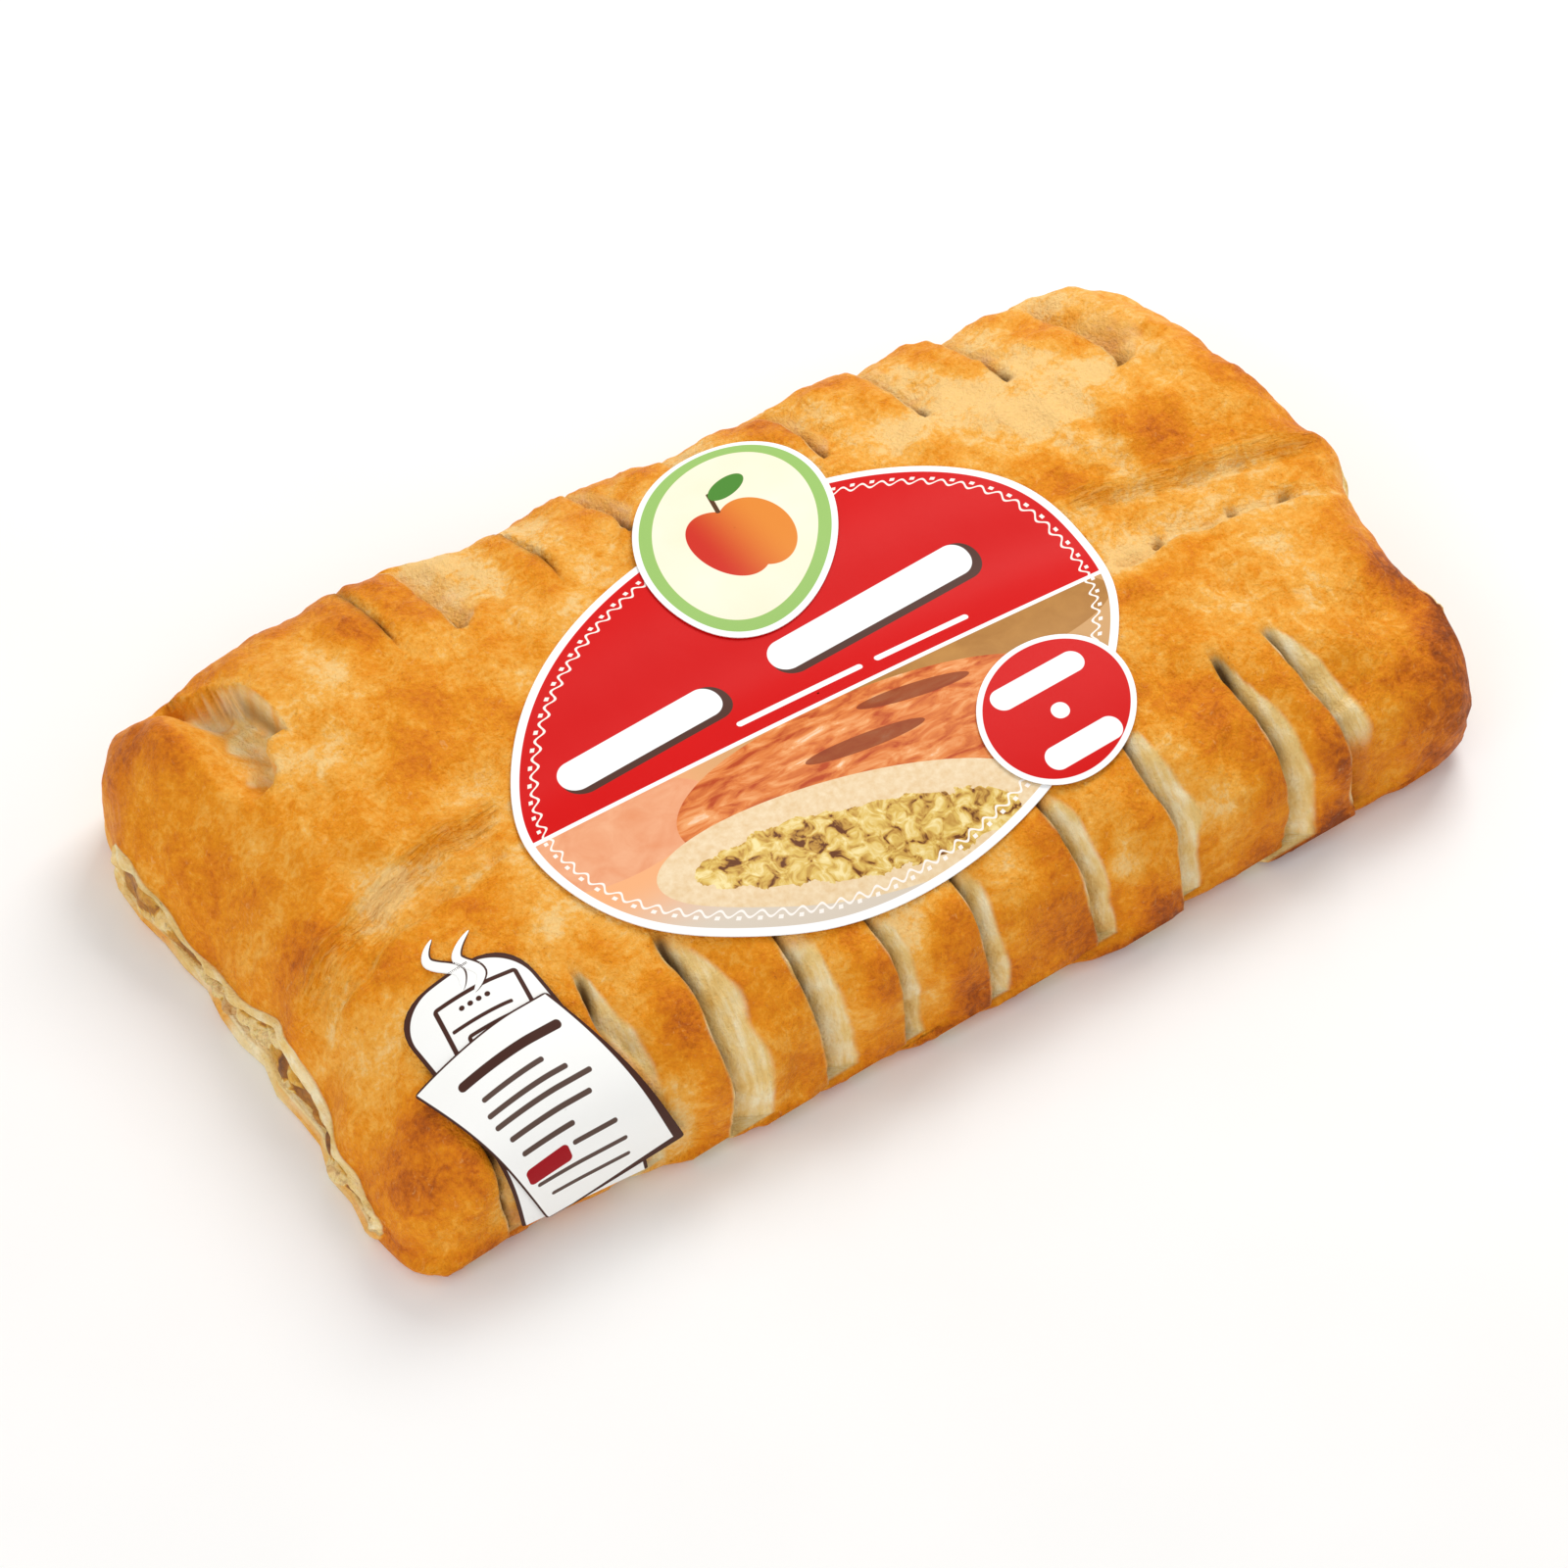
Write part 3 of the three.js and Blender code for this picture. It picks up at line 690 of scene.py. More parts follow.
# %% Puff pastry
def puff_pastry():
    """Egg-washed puff pastry, oven baked: golden brown, mottled, faintly glossy, with pale dull dough in
    the cuts and painted shade, near black-brown, in the groove bottoms, cracks and torn holes."""
    material, tree = new_material("puff pastry, egg washed and baked")
    place = add(tree, "TexCoord", out="Object")
    # bake: browning, with painted light in it: darker to the left, lighter over the rear flap and the
    # right
    bake = add(tree, "Attribute", out="Fac", attribute_name="bake")
    pale = add(tree, "Attribute", out="Fac", attribute_name="pale")
    patches = add(
        tree, "TexNoise",
        {"Vector": place, "Scale": 1 / (20 * MM), "Detail": 4, "Roughness": 0.6, "Distortion": 0.5},
    )
    mottle = add(
        tree, "TexNoise",
        {"Vector": place, "Scale": 1 / (4.6 * MM), "Detail": 8, "Roughness": 0.68, "Distortion": 1.0},
    )
    fine = add(
        tree, "TexNoise", {"Vector": place, "Scale": 1 / (1.3 * MM), "Detail": 6, "Roughness": 0.7}
    )
    level = add(tree, "MULTIPLY_ADD", (patches, 0.85, bake))
    level = add(tree, "MULTIPLY_ADD", (mottle, 0.86, level))
    level = add(tree, "MULTIPLY_ADD", (fine, 0.65, level))
    level = add(tree, "SUBTRACT", (level, 1.21), use_clamp=True)
    gold = add(
        tree, "ValToRGB", (level,),
        stops=[
            (0.0, "#F9CB80"), (0.18, "#F6B046"), (0.4, "#EC9312"), (0.62, "#DB7A05"), (0.8, "#BE5F06"),
            (1.0, "#8E4210"),
        ],
    )
    flecks = add(
        tree, "TexNoise",
        {"Vector": place, "Scale": 1 / (2.2 * MM), "Detail": 5, "Roughness": 0.6, "Distortion": 1.5},
    )
    flecks = add(tree, "MapRange", (flecks, 0.6, 0.72))
    gold = add(tree, "Mix", (add(tree, "MULTIPLY", (flecks, 0.22)), gold, "#FBD08C"))
    pores = add(
        tree, "TexNoise", {"Vector": place, "Scale": 1 / (0.8 * MM), "Detail": 3, "Roughness": 0.6}
    )
    pores = add(tree, "MapRange", (pores, 0.62, 0.74))
    pores = add(tree, "MULTIPLY", (pores, add(tree, "MapRange", (mottle, 0.4, 0.62))))
    gold = add(tree, "Mix", (add(tree, "MULTIPLY", (pores, 0.5)), gold, "#9C5212"))
    unrolled_map = add(tree, "UVMap", uv_map="flat")
    layers = add(tree, "Mapping", {"Vector": unrolled_map, "Scale": (1.0, 0.16, 1.0)})
    streak = add(
        tree, "TexNoise", {"Vector": layers, "Scale": 1 / (1.3 * MM), "Detail": 4, "Roughness": 0.62}
    )
    soft = add(
        tree, "TexNoise", {"Vector": place, "Scale": 1 / (7 * MM), "Detail": 3, "Roughness": 0.5}
    )
    dough = add(tree, "MULTIPLY_ADD", (soft, 0.5, add(tree, "MULTIPLY", (streak, 0.5))))
    dough = add(
        tree, "ValToRGB", (dough,), stops=[(0.3, "#E0AC52"), (0.47, "#F3D088"), (0.64, "#FFEEC4")]
    )
    edge = add(tree, "MULTIPLY_ADD", (fine, 0.16, pale))
    edge = add(tree, "MULTIPLY_ADD", (mottle, 0.1, edge))
    edge = add(tree, "MapRange", (edge, 0.3, 0.95))
    colour = add(tree, "Mix", (edge, gold, dough))
    # painted shade: the floor value darkens groove bottoms, thin cracks and torn holes towards
    # near-black brown
    deep = add(tree, "Attribute", out="Fac", attribute_name="floor")
    colour = add(tree, "Mix", (add(tree, "MULTIPLY", (deep, 0.9)), colour, "#4C2A0C"))
    blister = add(
        tree, "TexNoise", {"Vector": place, "Scale": 1 / (2.4 * MM), "Detail": 5, "Roughness": 0.6}
    )
    grain = add(
        tree, "TexNoise", {"Vector": place, "Scale": 1 / (0.7 * MM), "Detail": 3, "Roughness": 0.6}
    )
    height = add(tree, "MULTIPLY_ADD", (grain, 0.7, blister))
    along = add(tree, "MULTIPLY", (add(tree, "SeparateXYZ", (unrolled_map,)), 0.16))
    across = add(tree, "Attribute", out="Fac", attribute_name="across")
    seam_place = add(tree, "CombineXYZ", (along, add(tree, "MULTIPLY", (across, MM))))
    ridges = add(
        tree, "TexNoise",
        {
            "Vector": seam_place, "Scale": 1 / (1.0 * MM), "Detail": 4, "Roughness": 0.65,
            "Distortion": 0.4,
        },
    )
    comb = add(tree, "Attribute", out="Fac", attribute_name="comb")
    ridges = add(tree, "MULTIPLY", (add(tree, "SUBTRACT", (ridges, 0.5)), comb))
    height = add(tree, "MULTIPLY_ADD", (ridges, 2.2, height))
    light = add(tree, "MULTIPLY", (add(tree, "MapRange", (ridges, 0.01, 0.12)), 0.36))
    colour = add(tree, "Mix", (light, colour, "#F7BE66"))
    shade = add(tree, "MULTIPLY", (add(tree, "MapRange", (ridges, -0.06, -0.15)), 0.22))
    colour = add(tree, "Mix", (shade, colour, "#C0741C"))
    height = add(tree, "MULTIPLY_ADD", (add(tree, "MULTIPLY", (streak, edge)), 0.5, height))
    rough = add(tree, "MULTIPLY_ADD", (edge, 0.25, 0.47))
    rough = add(tree, "MULTIPLY_ADD", (fine, 0.1, rough))
    finish_surface(
        tree, colour, rough, height, 0.0010, 0.8,
        **{
            "Subsurface Weight": 0.05, "Subsurface Radius": (0.003, 0.0016, 0.0006),
            "Subsurface Scale": 0.5, "Specular IOR Level": 0.16,
        },
    )
    return material


# %% Values that colour the crust
BROWNING = (  # hills of browner crust and dents of lighter crust
    (0.12, -116, 10, 6, 26),
    (0.06, -70, 16, -52, 16),
    (-0.16, 82, 7, -64, 20),
    (-0.16, -66, 11, -55, 16),
    (0.04, -105, 30, 45, 34),
    (0.36, -119, 10, -64, 14),
    (-0.12, 54, 22, 60, 16),
    (-0.05, 75, 40, -14, 30),
)


def baking_and_painted_light(x, s, fields, height):
    """How brown the crust is, about 0 to 1: browner to the left and rear, at the cut ends, on raised
    strip edges and blisters, lighter along the seam band and on the right flap. Part of it is painted
    light and not baking: the left rear is painted darker, and the rear flap and the right of the crown
    lighter, as a sheen from the lamp at the right rear."""
    level = 0.38 + 0.11 * waves(x, s, 46, 71) + 0.08 * waves(x, s, 18, 72)
    level += hills(BROWNING, x, s)
    level += 0.17 * smooth(70, 118, x) * smooth(-25, -50, s) + 0.10 * smooth(100, 122, x)
    # the first term is browner strips at the right front; the last is painted light, the rear flap
    # painted lighter for the sheen of the lamp at the right rear
    level += 0.08 * smooth(15, 45, x) * smooth(-58, -68, s) - 0.13 * smooth(12, 34, s)
    level -= 0.22 * bell(x + 86, 20) * bell(fields["upper"] - 0.5, 5)
    # painted light: the left rear painted darker and the right of the crown and rear lighter, as the
    # lamp at the right rear lights them
    level += 0.05 * smooth(-20, -60, x) * smooth(0, 15, s)
    level -= 0.08 * smooth(40, 80, x) * smooth(-38, -10, s)
    level += 0.14 * smooth(108, 124, x) + 0.08 * smooth(-116, -124, x)
    band = bell((fields["upper"] + fields["lower"]) / 2, 9)
    level -= 0.17 * (band + left_part(x) * (bell(fields["upper"] + 0.5, 6) - band))
    level -= 0.05 * bell(x - 88, 16) * bell(fields["upper"], 6)
    level += 0.12 * bell(fields["upper"] - 6, 3.5) * smooth(40, 80, x)
    level -= 0.16 * bell(fields["lower"] + 1.0, 1.8)
    level += 0.07 * np.clip(height, -1.0, 2.5) * (fields["depth"] < 0.4)
    for place, lean, width, deep, start, stop in SLITS:
        along = np.clip((s - start) / (stop - start), 0, 1)
        here = x - place - lean * along
        inside = smooth(0.0, 0.25, along) * (1.0 if start < 0 else smooth(1.06, 0.9, along))
        level += (0.14 * bell(here + 3.0, 4.5) - 0.06 * bell(here - width - 1.5, 3.0)) * inside
        if start < 0:
            level += 0.16 * bell(here + 5.5, 6.0) * smooth(0.7, 1.0, along)
    return level


# bake holds the browning together with the painted light and sheen
bake = baking_and_painted_light(grid_x, grid_s, fields, height)
loops, rows = crust_points.shape[:2]
print("bake from", round(float(bake.min()), 2), "to", round(float(bake.max()), 2))


def whole(value, rim, inside, under):
    """A value given on the top rows of the outside, spread over the whole closed skin."""
    field = np.full((loops, rows), float(inside))
    field[:COLUMNS, :TOP_ROWS] = value
    field[:COLUMNS, TOP_ROWS:] = under
    field[:COLUMNS, TOP_ROWS:TOP_ROWS + ROUNDING_ROWS] = value[:, -1:]
    field[:COLUMNS, -ROUNDING_ROWS:] = value[:, :1]
    field[COLUMNS:COLUMNS + RIM_COLUMNS] = rim
    field[-RIM_COLUMNS:] = rim
    left_rim_y, left_rim_z = crust_points[-RIM_COLUMNS:, :, 1], crust_points[-RIM_COLUMNS:, :, 2]
    mottled = 0.6 + 0.5 * waves(left_rim_y, left_rim_z, 12, 54)
    field[-RIM_COLUMNS:, TOP_ROWS:] = rim * np.clip(mottled[:, TOP_ROWS:], 0.2, 1)
    return field


crust_values = {
    "bake": whole(bake, 0.6, 0.3, 0.45),
    "pale": whole(fields["pale"], 1.0, 1.0, 0.0),
    # floor: painted shade in the grooves, cracks and torn holes
    "floor": whole(fields["floor"], 0.0, 0.0, 0.0),
    "comb": whole(fields["comb"], 0.0, 0.0, 0.0),
    "across": whole(fields["upper"], 0.0, 0.0, 0.0),
}
unrolled = np.zeros((loops, rows, 2))
unrolled[:, :TOP_ROWS, 1] = top_s
unrolled[:, TOP_ROWS:, 1] = REAR_S + np.arange(rows - TOP_ROWS)
unrolled[:COLUMNS, :, 0] = columns[:, None]
unrolled[COLUMNS:, :, 0] = crust_points[COLUMNS:, :, 0]
crust = make_object(
    "pastry_crust", crust_points, grid_faces(loops, rows, True, True), puff_pastry(), crust_values,
    unrolled * MM,
)
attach(crust, "root")
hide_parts("pastry")

# %% [markdown]
# The filling shows only where the ends are cut: soft apple cubes in their own syrup, crumbs that
# soaked it up, and a few raisins. It is one slab under the crust, and its two end faces are
# lumpy. Each lump is a rounded bump on the face, and the highest bump at a place wins, which is
# how a heap of cubes looks from outside.

# %% The filling
FILLING_GAP = 0.3
FILLING_ENDS = (-125.2, 122.8)
FILL_COLUMNS, FILL_ROWS, CAP_COLUMNS = 60, 150, 12
LUMPS, LUMP_SIZE, LUMP_TOP, LUMP_RISE = 190, 3.6, 26, 2.8


def lumps(y, z, seed):
    """Height of the highest lump over each place of an end face, 0 to 1, and a random number
    from 0 to 1 that tells the lumps apart."""
    rng = np.random.default_rng(seed)
    cy = rng.uniform(-66, 66, LUMPS)
    cz = rng.uniform(FLOOR, LUMP_TOP, LUMPS)
    radius = LUMP_SIZE * rng.uniform(0.55, 1.3, LUMPS)
    tone = rng.uniform(0, 1, LUMPS)
    far = ((y[..., None] - cy) / radius) ** 2 + ((z[..., None] - cz) / (radius * 0.75)) ** 2
    rise = np.sqrt(np.maximum(1 - far, 0)) * (0.6 + 0.4 * tone)
    best = rise.argmax(-1)
    return np.take_along_axis(rise, best[..., None], -1)[..., 0], tone[best]


def filling_loop(x):
    """Loops round the slab: over the top from front to rear and back along the floor."""
    middle, half = sides(x)
    angle = np.linspace(-np.pi / 2, np.pi / 2, FILL_ROWS)
    top = outline(x[:, None], angle[None, :])
    y = middle[:, None] + (half[:, None] - WALL - FILLING_GAP) * np.sin(angle)
    z = top[..., 2] - valley(x[:, None], y) - FILLING_GAP - end_roof(x[:, None], y)
    z = np.maximum(z, FLOOR + CREVICE - FILLING_GAP)
    upper = np.stack([top[..., 0], y, z], -1)
    lower = np.stack([top[..., 0], y, np.full(y.shape, FLOOR + FILLING_GAP)], -1)
    slab = np.concatenate([upper, lower[:, ::-1]], axis=1)
    slab[..., 0] += ragged_ends(slab[..., 0], slab[..., 1], slab[..., 2])
    return slab


def filling_cap(loop, outward, seed):
    """Closes an end: the loop's two halves draw together to a line at mid height, and the lumps
    stand out of the face."""
    t = np.linspace(0, 1, CAP_COLUMNS + 1)[1:, None]
    middle = (loop + loop[::-1]) / 2
    cap = loop + (middle - loop) * t[..., None]
    rise, tone = lumps(cap[..., 1], cap[..., 2], seed)
    y = loop[:, 1]
    room = smooth(2, 9, y - y.min()) * smooth(2, 9, y.max() - y)  # the crust rounds off at both sides
    cap[..., 0] += outward * LUMP_RISE * rise * room * t**0.4
    return cap, tone


slab = filling_loop(np.linspace(*FILLING_ENDS, FILL_COLUMNS))
left_cap, left_tone = filling_cap(slab[0], -1, 81)
right_cap, right_tone = filling_cap(slab[-1], 1, 82)
filling_points = np.concatenate([left_cap[::-1], slab, right_cap])
tone = np.concatenate([left_tone[::-1], np.full(slab.shape[:2], 0.5), right_tone])


def apple_filling():
    """Cooked apple in syrup: amber and cream cubes, wet and slightly see-through, with brown
    crumb between them."""
    material, tree = new_material("apple filling, cooked in syrup")
    place = add(tree, "TexCoord", out="Object")
    cells = add(
        tree, "TexNoise",
        {"Vector": place, "Scale": 1 / (3.0 * MM), "Detail": 5, "Roughness": 0.62, "Distortion": 0.8},
    )
    pulp = add(
        tree, "TexNoise", {"Vector": place, "Scale": 1 / (1.0 * MM), "Detail": 4, "Roughness": 0.65}
    )
    tone = add(tree, "Attribute", out="Fac", attribute_name="tone")
    blend = add(tree, "MULTIPLY_ADD", (tone, 0.6, add(tree, "MULTIPLY", (cells, 0.45))))
    fruit = add(
        tree, "ValToRGB", (blend,),
        stops=[
            (0.2, "#6E3F10"), (0.32, "#A8681A"), (0.44, "#CC8C22"), (0.58, "#E2AE40"),
            (0.72, "#F6DA9A"), (0.88, "#BC7A1E"),
        ],
    )
    crumb = add(tree, "MULTIPLY", (add(tree, "MapRange", (pulp, 0.5, 0.7)), 0.45))
    fruit = add(tree, "Mix", (crumb, fruit, "#8A5A22"))
    bump = add(tree, "MULTIPLY_ADD", (pulp, 0.5, cells))
    finish_surface(
        tree, fruit, add(tree, "MULTIPLY_ADD", (pulp, 0.4, 0.22)), bump, 0.0012, 0.9,
        **{
            "Subsurface Weight": 0.35, "Subsurface Radius": (0.006, 0.004, 0.0015),
            "Subsurface Scale": 0.5,
        },
    )
    return material


filling = make_object(
    "apple_filling", filling_points, grid_faces(*filling_points.shape[:2], False, True),
    apple_filling(), {"tone": tone},
)
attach(filling, "root")
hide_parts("filling")

# %% Sheets that follow the crust
def on_crust(x, s, lift):
    """A point of the unrolled crust in space, lifted along the outline's normal."""
    step = 0.5
    angle = angle_at(s)
    point = outline(x, angle)
    along = outline(x + step, angle) - outline(x - step, angle)
    round_it = outline(x, angle_at(s + step)) - outline(x, angle_at(s - step))
    normal = np.cross(along, round_it)
    normal /= np.linalg.norm(normal, axis=-1, keepdims=True)
    point[..., 2] -= valley(x, point[..., 1])
    return point + normal * np.asarray(lift)[..., None]


def border_sheet(name, border, centre, lift, rings, material, cad_node):
    """A thin sheet inside a closed border line on the unrolled crust: rings of points from the
    centre of its face out to the border, round it, and back to the centre of its underside.
    Its flat map is the place on the unrolled crust, in metres."""
    out = np.append(np.linspace(0.004, 0.985, rings - 2), (0.997, 1.0))
    reach = np.concatenate([out, out[::-1]])[:, None]
    level = np.concatenate([np.full(rings, SHEET), np.zeros(rings)])[:, None]
    x = centre[0] + (border[:, 0] - centre[0]) * reach
    s = centre[1] + (border[:, 1] - centre[1]) * reach
    points = on_crust(x, s, lift + level + 0 * x)
    sheet = make_object(
        name, points, grid_faces(*points.shape[:2], False, True)[:, ::-1], material,
        flat=np.stack([x, s], -1) * MM,
    )
    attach(sheet, "root")
    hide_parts(cad_node)


def ellipse_border(label, spokes):
    """Points round a label's rim on the unrolled crust, clockwise."""
    cx, cs, a, b, turn = LABELS[label]
    t = math.radians(turn)
    around = np.linspace(0, -2 * np.pi, spokes, endpoint=False)
    u, v = a * np.cos(around), b * np.sin(around)
    x = cx + u * math.cos(t) - v * math.sin(t)
    return np.stack([x, cs + u * math.sin(t) + v * math.cos(t)], -1)


def rounded_border(corners, radii, per_side=26, per_corner=9):
    """A polygon's border, clockwise, with each corner rounded: straight sides cut short and
    joined by a curve whose handle is the old corner."""
    line = []
    count = len(corners)
    for i in range(count):
        before, corner, after = corners[i - 1], corners[i], corners[(i + 1) % count]
        start = corner + (before - corner) / np.linalg.norm(before - corner) * radii[i]
        stop = corner + (after - corner) / np.linalg.norm(after - corner) * radii[i]
        t = np.linspace(0, 1, per_corner)[:, None]
        line.append((1 - t) ** 2 * start + 2 * t * (1 - t) * corner + t**2 * stop)
        following = after + (corner - after) / np.linalg.norm(corner - after) * radii[(i + 1) % count]
        t = np.linspace(0, 1, per_side)[1:-1, None]
        line.append(stop + (following - stop) * t)
    return np.concatenate(line)


def print_material(name, paint):
    """Ink on a smooth plastic film: even colour with a soft shine. paint builds the colour from
    the sheet's flat map, in millimetres."""
    material, tree = new_material(name)
    uv = add(tree, "UVMap", uv_map="flat")
    u = add(tree, "MULTIPLY", (add(tree, "SeparateXYZ", (uv,)), 1 / MM))
    v = add(tree, "MULTIPLY", (add(tree, "SeparateXYZ", (uv,), out=1), 1 / MM))
    place = add(tree, "TexCoord", out="Object")
    colour = paint(tree, u, v, place)
    screen = add(
        tree, "TexNoise", {"Vector": place, "Scale": 1 / (0.35 * MM), "Detail": 2, "Roughness": 0.5}
    )
    slack = add(
        tree, "TexNoise", {"Vector": place, "Scale": 1 / (9 * MM), "Detail": 2, "Roughness": 0.4}
    )
    shine = add(tree, "MULTIPLY_ADD", (screen, 0.12, 0.38))
    finish_surface(tree, colour, shine, slack, 0.0002, 0.35, **{"Specular IOR Level": 0.12})
    return material


def uneven_ink(tree, place, patch, one, other):
    """Ink that changes a little from one colour to the other, over patches of this size, mm."""
    cloud = add(
        tree, "TexNoise", {"Vector": place, "Scale": 1 / (patch * MM), "Detail": 2, "Roughness": 0.5}
    )
    return add(tree, "Mix", (cloud, one, other))


# %% [markdown]
# Print is drawn with distances. For an ellipse or a bar, a few sums give how far inside the
# shape a place on the sheet lies, and wherever that is more than zero the ink is there. The edge
# stays sharp at any size, which a picture made of dots would not.

# %% Shapes for print, made of distances
def turned(tree, u, v, cu, cv, turn):
    """A place on the sheet seen from a shape's own centre and axes, mm."""
    t = math.radians(turn)
    du = add(tree, "SUBTRACT", (u, cu))
    dv = add(tree, "SUBTRACT", (v, cv))
    p = add(tree, "MULTIPLY_ADD", (du, math.cos(t), add(tree, "MULTIPLY", (dv, math.sin(t)))))
    q = add(tree, "MULTIPLY_ADD", (dv, math.cos(t), add(tree, "MULTIPLY", (du, -math.sin(t)))))
    return p, q


def diagonal(tree, a, b):
    """The length of a line with the sides a and b."""
    return add(tree, "SQRT", (add(tree, "MULTIPLY_ADD", (a, a, add(tree, "MULTIPLY", (b, b)))),))


def ellipse_distance(tree, u, v, cu, cv, a, b, turn=0.0):
    """About how far inside an ellipse a place lies, mm: the gap to the rim over its slope."""
    p, q = turned(tree, u, v, cu, cv, turn)
    p = add(tree, "DIVIDE", (p, a))
    q = add(tree, "DIVIDE", (q, b))
    near = diagonal(tree, p, q)
    steep = diagonal(tree, add(tree, "DIVIDE", (p, a)), add(tree, "DIVIDE", (q, b)))
    gap = add(tree, "MULTIPLY", (add(tree, "SUBTRACT", (1.0, near)), near))
    return add(tree, "DIVIDE", (gap, add(tree, "MAXIMUM", (steep, 0.0001))))


def bar_distance(tree, u, v, cu, cv, half_length, half_height, turn=0.0, radius=0.6):
    """How far inside a bar with rounded corners a place lies, mm."""
    p, q = turned(tree, u, v, cu, cv, turn)
    p = add(tree, "SUBTRACT", (add(tree, "ABSOLUTE", (p,)), half_length - radius))
    q = add(tree, "SUBTRACT", (add(tree, "ABSOLUTE", (q,)), half_height - radius))
    inner = add(tree, "MINIMUM", (add(tree, "MAXIMUM", (p, q)), 0.0))
    far = diagonal(tree, add(tree, "MAXIMUM", (p, 0.0)), add(tree, "MAXIMUM", (q, 0.0)))
    return add(tree, "SUBTRACT", (radius, add(tree, "ADD", (far, inner))))


def crisp(tree, distance, edge=0.0):
    """1 where the distance is over the edge, with a very thin soft step."""
    return add(tree, "MapRange", (distance, edge - 0.07, edge + 0.07))


def ring(tree, distance, width):
    """1 within half the width of where the distance is zero: an outline."""
    return crisp(tree, add(tree, "SUBTRACT", (width / 2, add(tree, "ABSOLUTE", (distance,)))))


# %% [markdown]
# The large oval label: a white rim, a red field above a slanting white line and a picture field
# below it. Wording has no place on a shared part, so rounded bars stand where a title would,
# and the picture is reduced to the plain shapes of a loaf and its cut face.

# %% The oval label
OVAL_RIM, SCALLOP_IN, SCALLOPS = 1.7, 4.6, 88
FIELD_LINE = -15.0  # where the red field ends, round the roll
LABEL_RED = ("#D00504", "#D60706")


def paint_picture(tree, u, v, place):
    """The field below the line: two loaves behind, one cut loaf in front, on a pale table."""
    field = add(tree, "Mix", (add(tree, "MapRange", (u, -45, -10)), "#F4B07C", "#CFA06A"))
    field = add(tree, "Mix", (add(tree, "MapRange", (v, -34, -52)), field, "#DCCFBE"))
    soft = add(
        tree, "TexNoise",
        {"Vector": place, "Scale": 1 / (7 * MM), "Detail": 4, "Roughness": 0.6, "Distortion": 0.5},
    )
    grain = add(
        tree, "TexNoise", {"Vector": place, "Scale": 1 / (1.5 * MM), "Detail": 3, "Roughness": 0.6}
    )
    rear = ellipse_distance(tree, u, v, 36, -16, 30, 10.5, -6)
    field = add(tree, "Mix", (crisp(tree, rear), field, add(tree, "Mix", (soft, "#9E6A32", "#C8924E"))))
    side = ellipse_distance(tree, u, v, -52, -22, 22, 11, 0)
    field = add(tree, "Mix", (crisp(tree, side), field, add(tree, "Mix", (soft, "#DE7C46", "#F8C29A"))))
    loaf = ellipse_distance(tree, u, v, 3, -33, 44, 17.5, -4)
    long_streaks = add(tree, "Mapping", {"Vector": place, "Scale": (0.35, 1.0, 1.0)})
    gloss = add(
        tree, "TexNoise",
        {
            "Vector": long_streaks, "Scale": 1 / (2.6 * MM), "Detail": 4, "Roughness": 0.6,
            "Distortion": 0.6,
        },
    )
    bake = add(
        tree, "ValToRGB", (gloss,),
        stops=[(0.32, "#B9481C"), (0.5, "#E0803E"), (0.64, "#F0A86C"), (0.76, "#FFE8CC")],
    )
    field = add(tree, "Mix", (crisp(tree, loaf), field, bake))
    for cu, cv, half, turn in ((2, -28.5, 13, -6), (17, -22.5, 12, -10)):
        cut = ellipse_distance(tree, u, v, cu, cv, half, 1.9, turn)
        field = add(tree, "Mix", (add(tree, "MULTIPLY", (crisp(tree, cut), 0.85)), field, "#8A3A18"))
    face = ellipse_distance(tree, u, v, -11, -46, 40.5, 13.2, -12)
    crumb = add(tree, "Mix", (grain, "#DDB47A", "#FBEBCB"))
    field = add(tree, "Mix", (crisp(tree, face), field, crumb))
    ragged = add(tree, "MULTIPLY", (add(tree, "SUBTRACT", (soft, 0.5)), 7))
    core = add(tree, "ADD", (ellipse_distance(tree, u, v, -11, -47.5, 33, 7.8, -13), ragged))
    chunk = add(
        tree, "TexNoise",
        {"Vector": place, "Scale": 1 / (3.0 * MM), "Detail": 3, "Roughness": 0.55, "Distortion": 0.8},
    )
    fruit = add(
        tree, "ValToRGB", (chunk,),
        stops=[(0.36, "#6B3A18"), (0.42, "#BC8A3C"), (0.52, "#E0BC60"), (0.66, "#F6E2A4")],
    )
    return add(tree, "Mix", (crisp(tree, core), field, fruit))


def title_bars(tree, u, v, colour):
    """Two thick bars with a dark shade for the title's words, and a thin one for the line
    under it."""
    for cu, cv, half in ((-33.5, -2.6, 19.0), (23.0, 2.0, 24.5)):
        shade = bar_distance(tree, u, v, cu + 0.9, cv - 0.9, half + 0.8, 4.5, 4, 4.4)
        colour = add(tree, "Mix", (crisp(tree, shade), colour, "#54342A"))
        bar = bar_distance(tree, u, v, cu, cv, half, 3.7, 4, 3.6)
        colour = add(tree, "Mix", (crisp(tree, bar), colour, "#FFFFFF"))
    for cu, half in ((-1.5, 14.5), (27.0, 11.0)):
        bar = bar_distance(tree, u, v, cu, -10.4, half, 0.75, 0, 0.7)
        colour = add(tree, "Mix", (crisp(tree, bar), colour, "#FFFFFF"))
    return colour


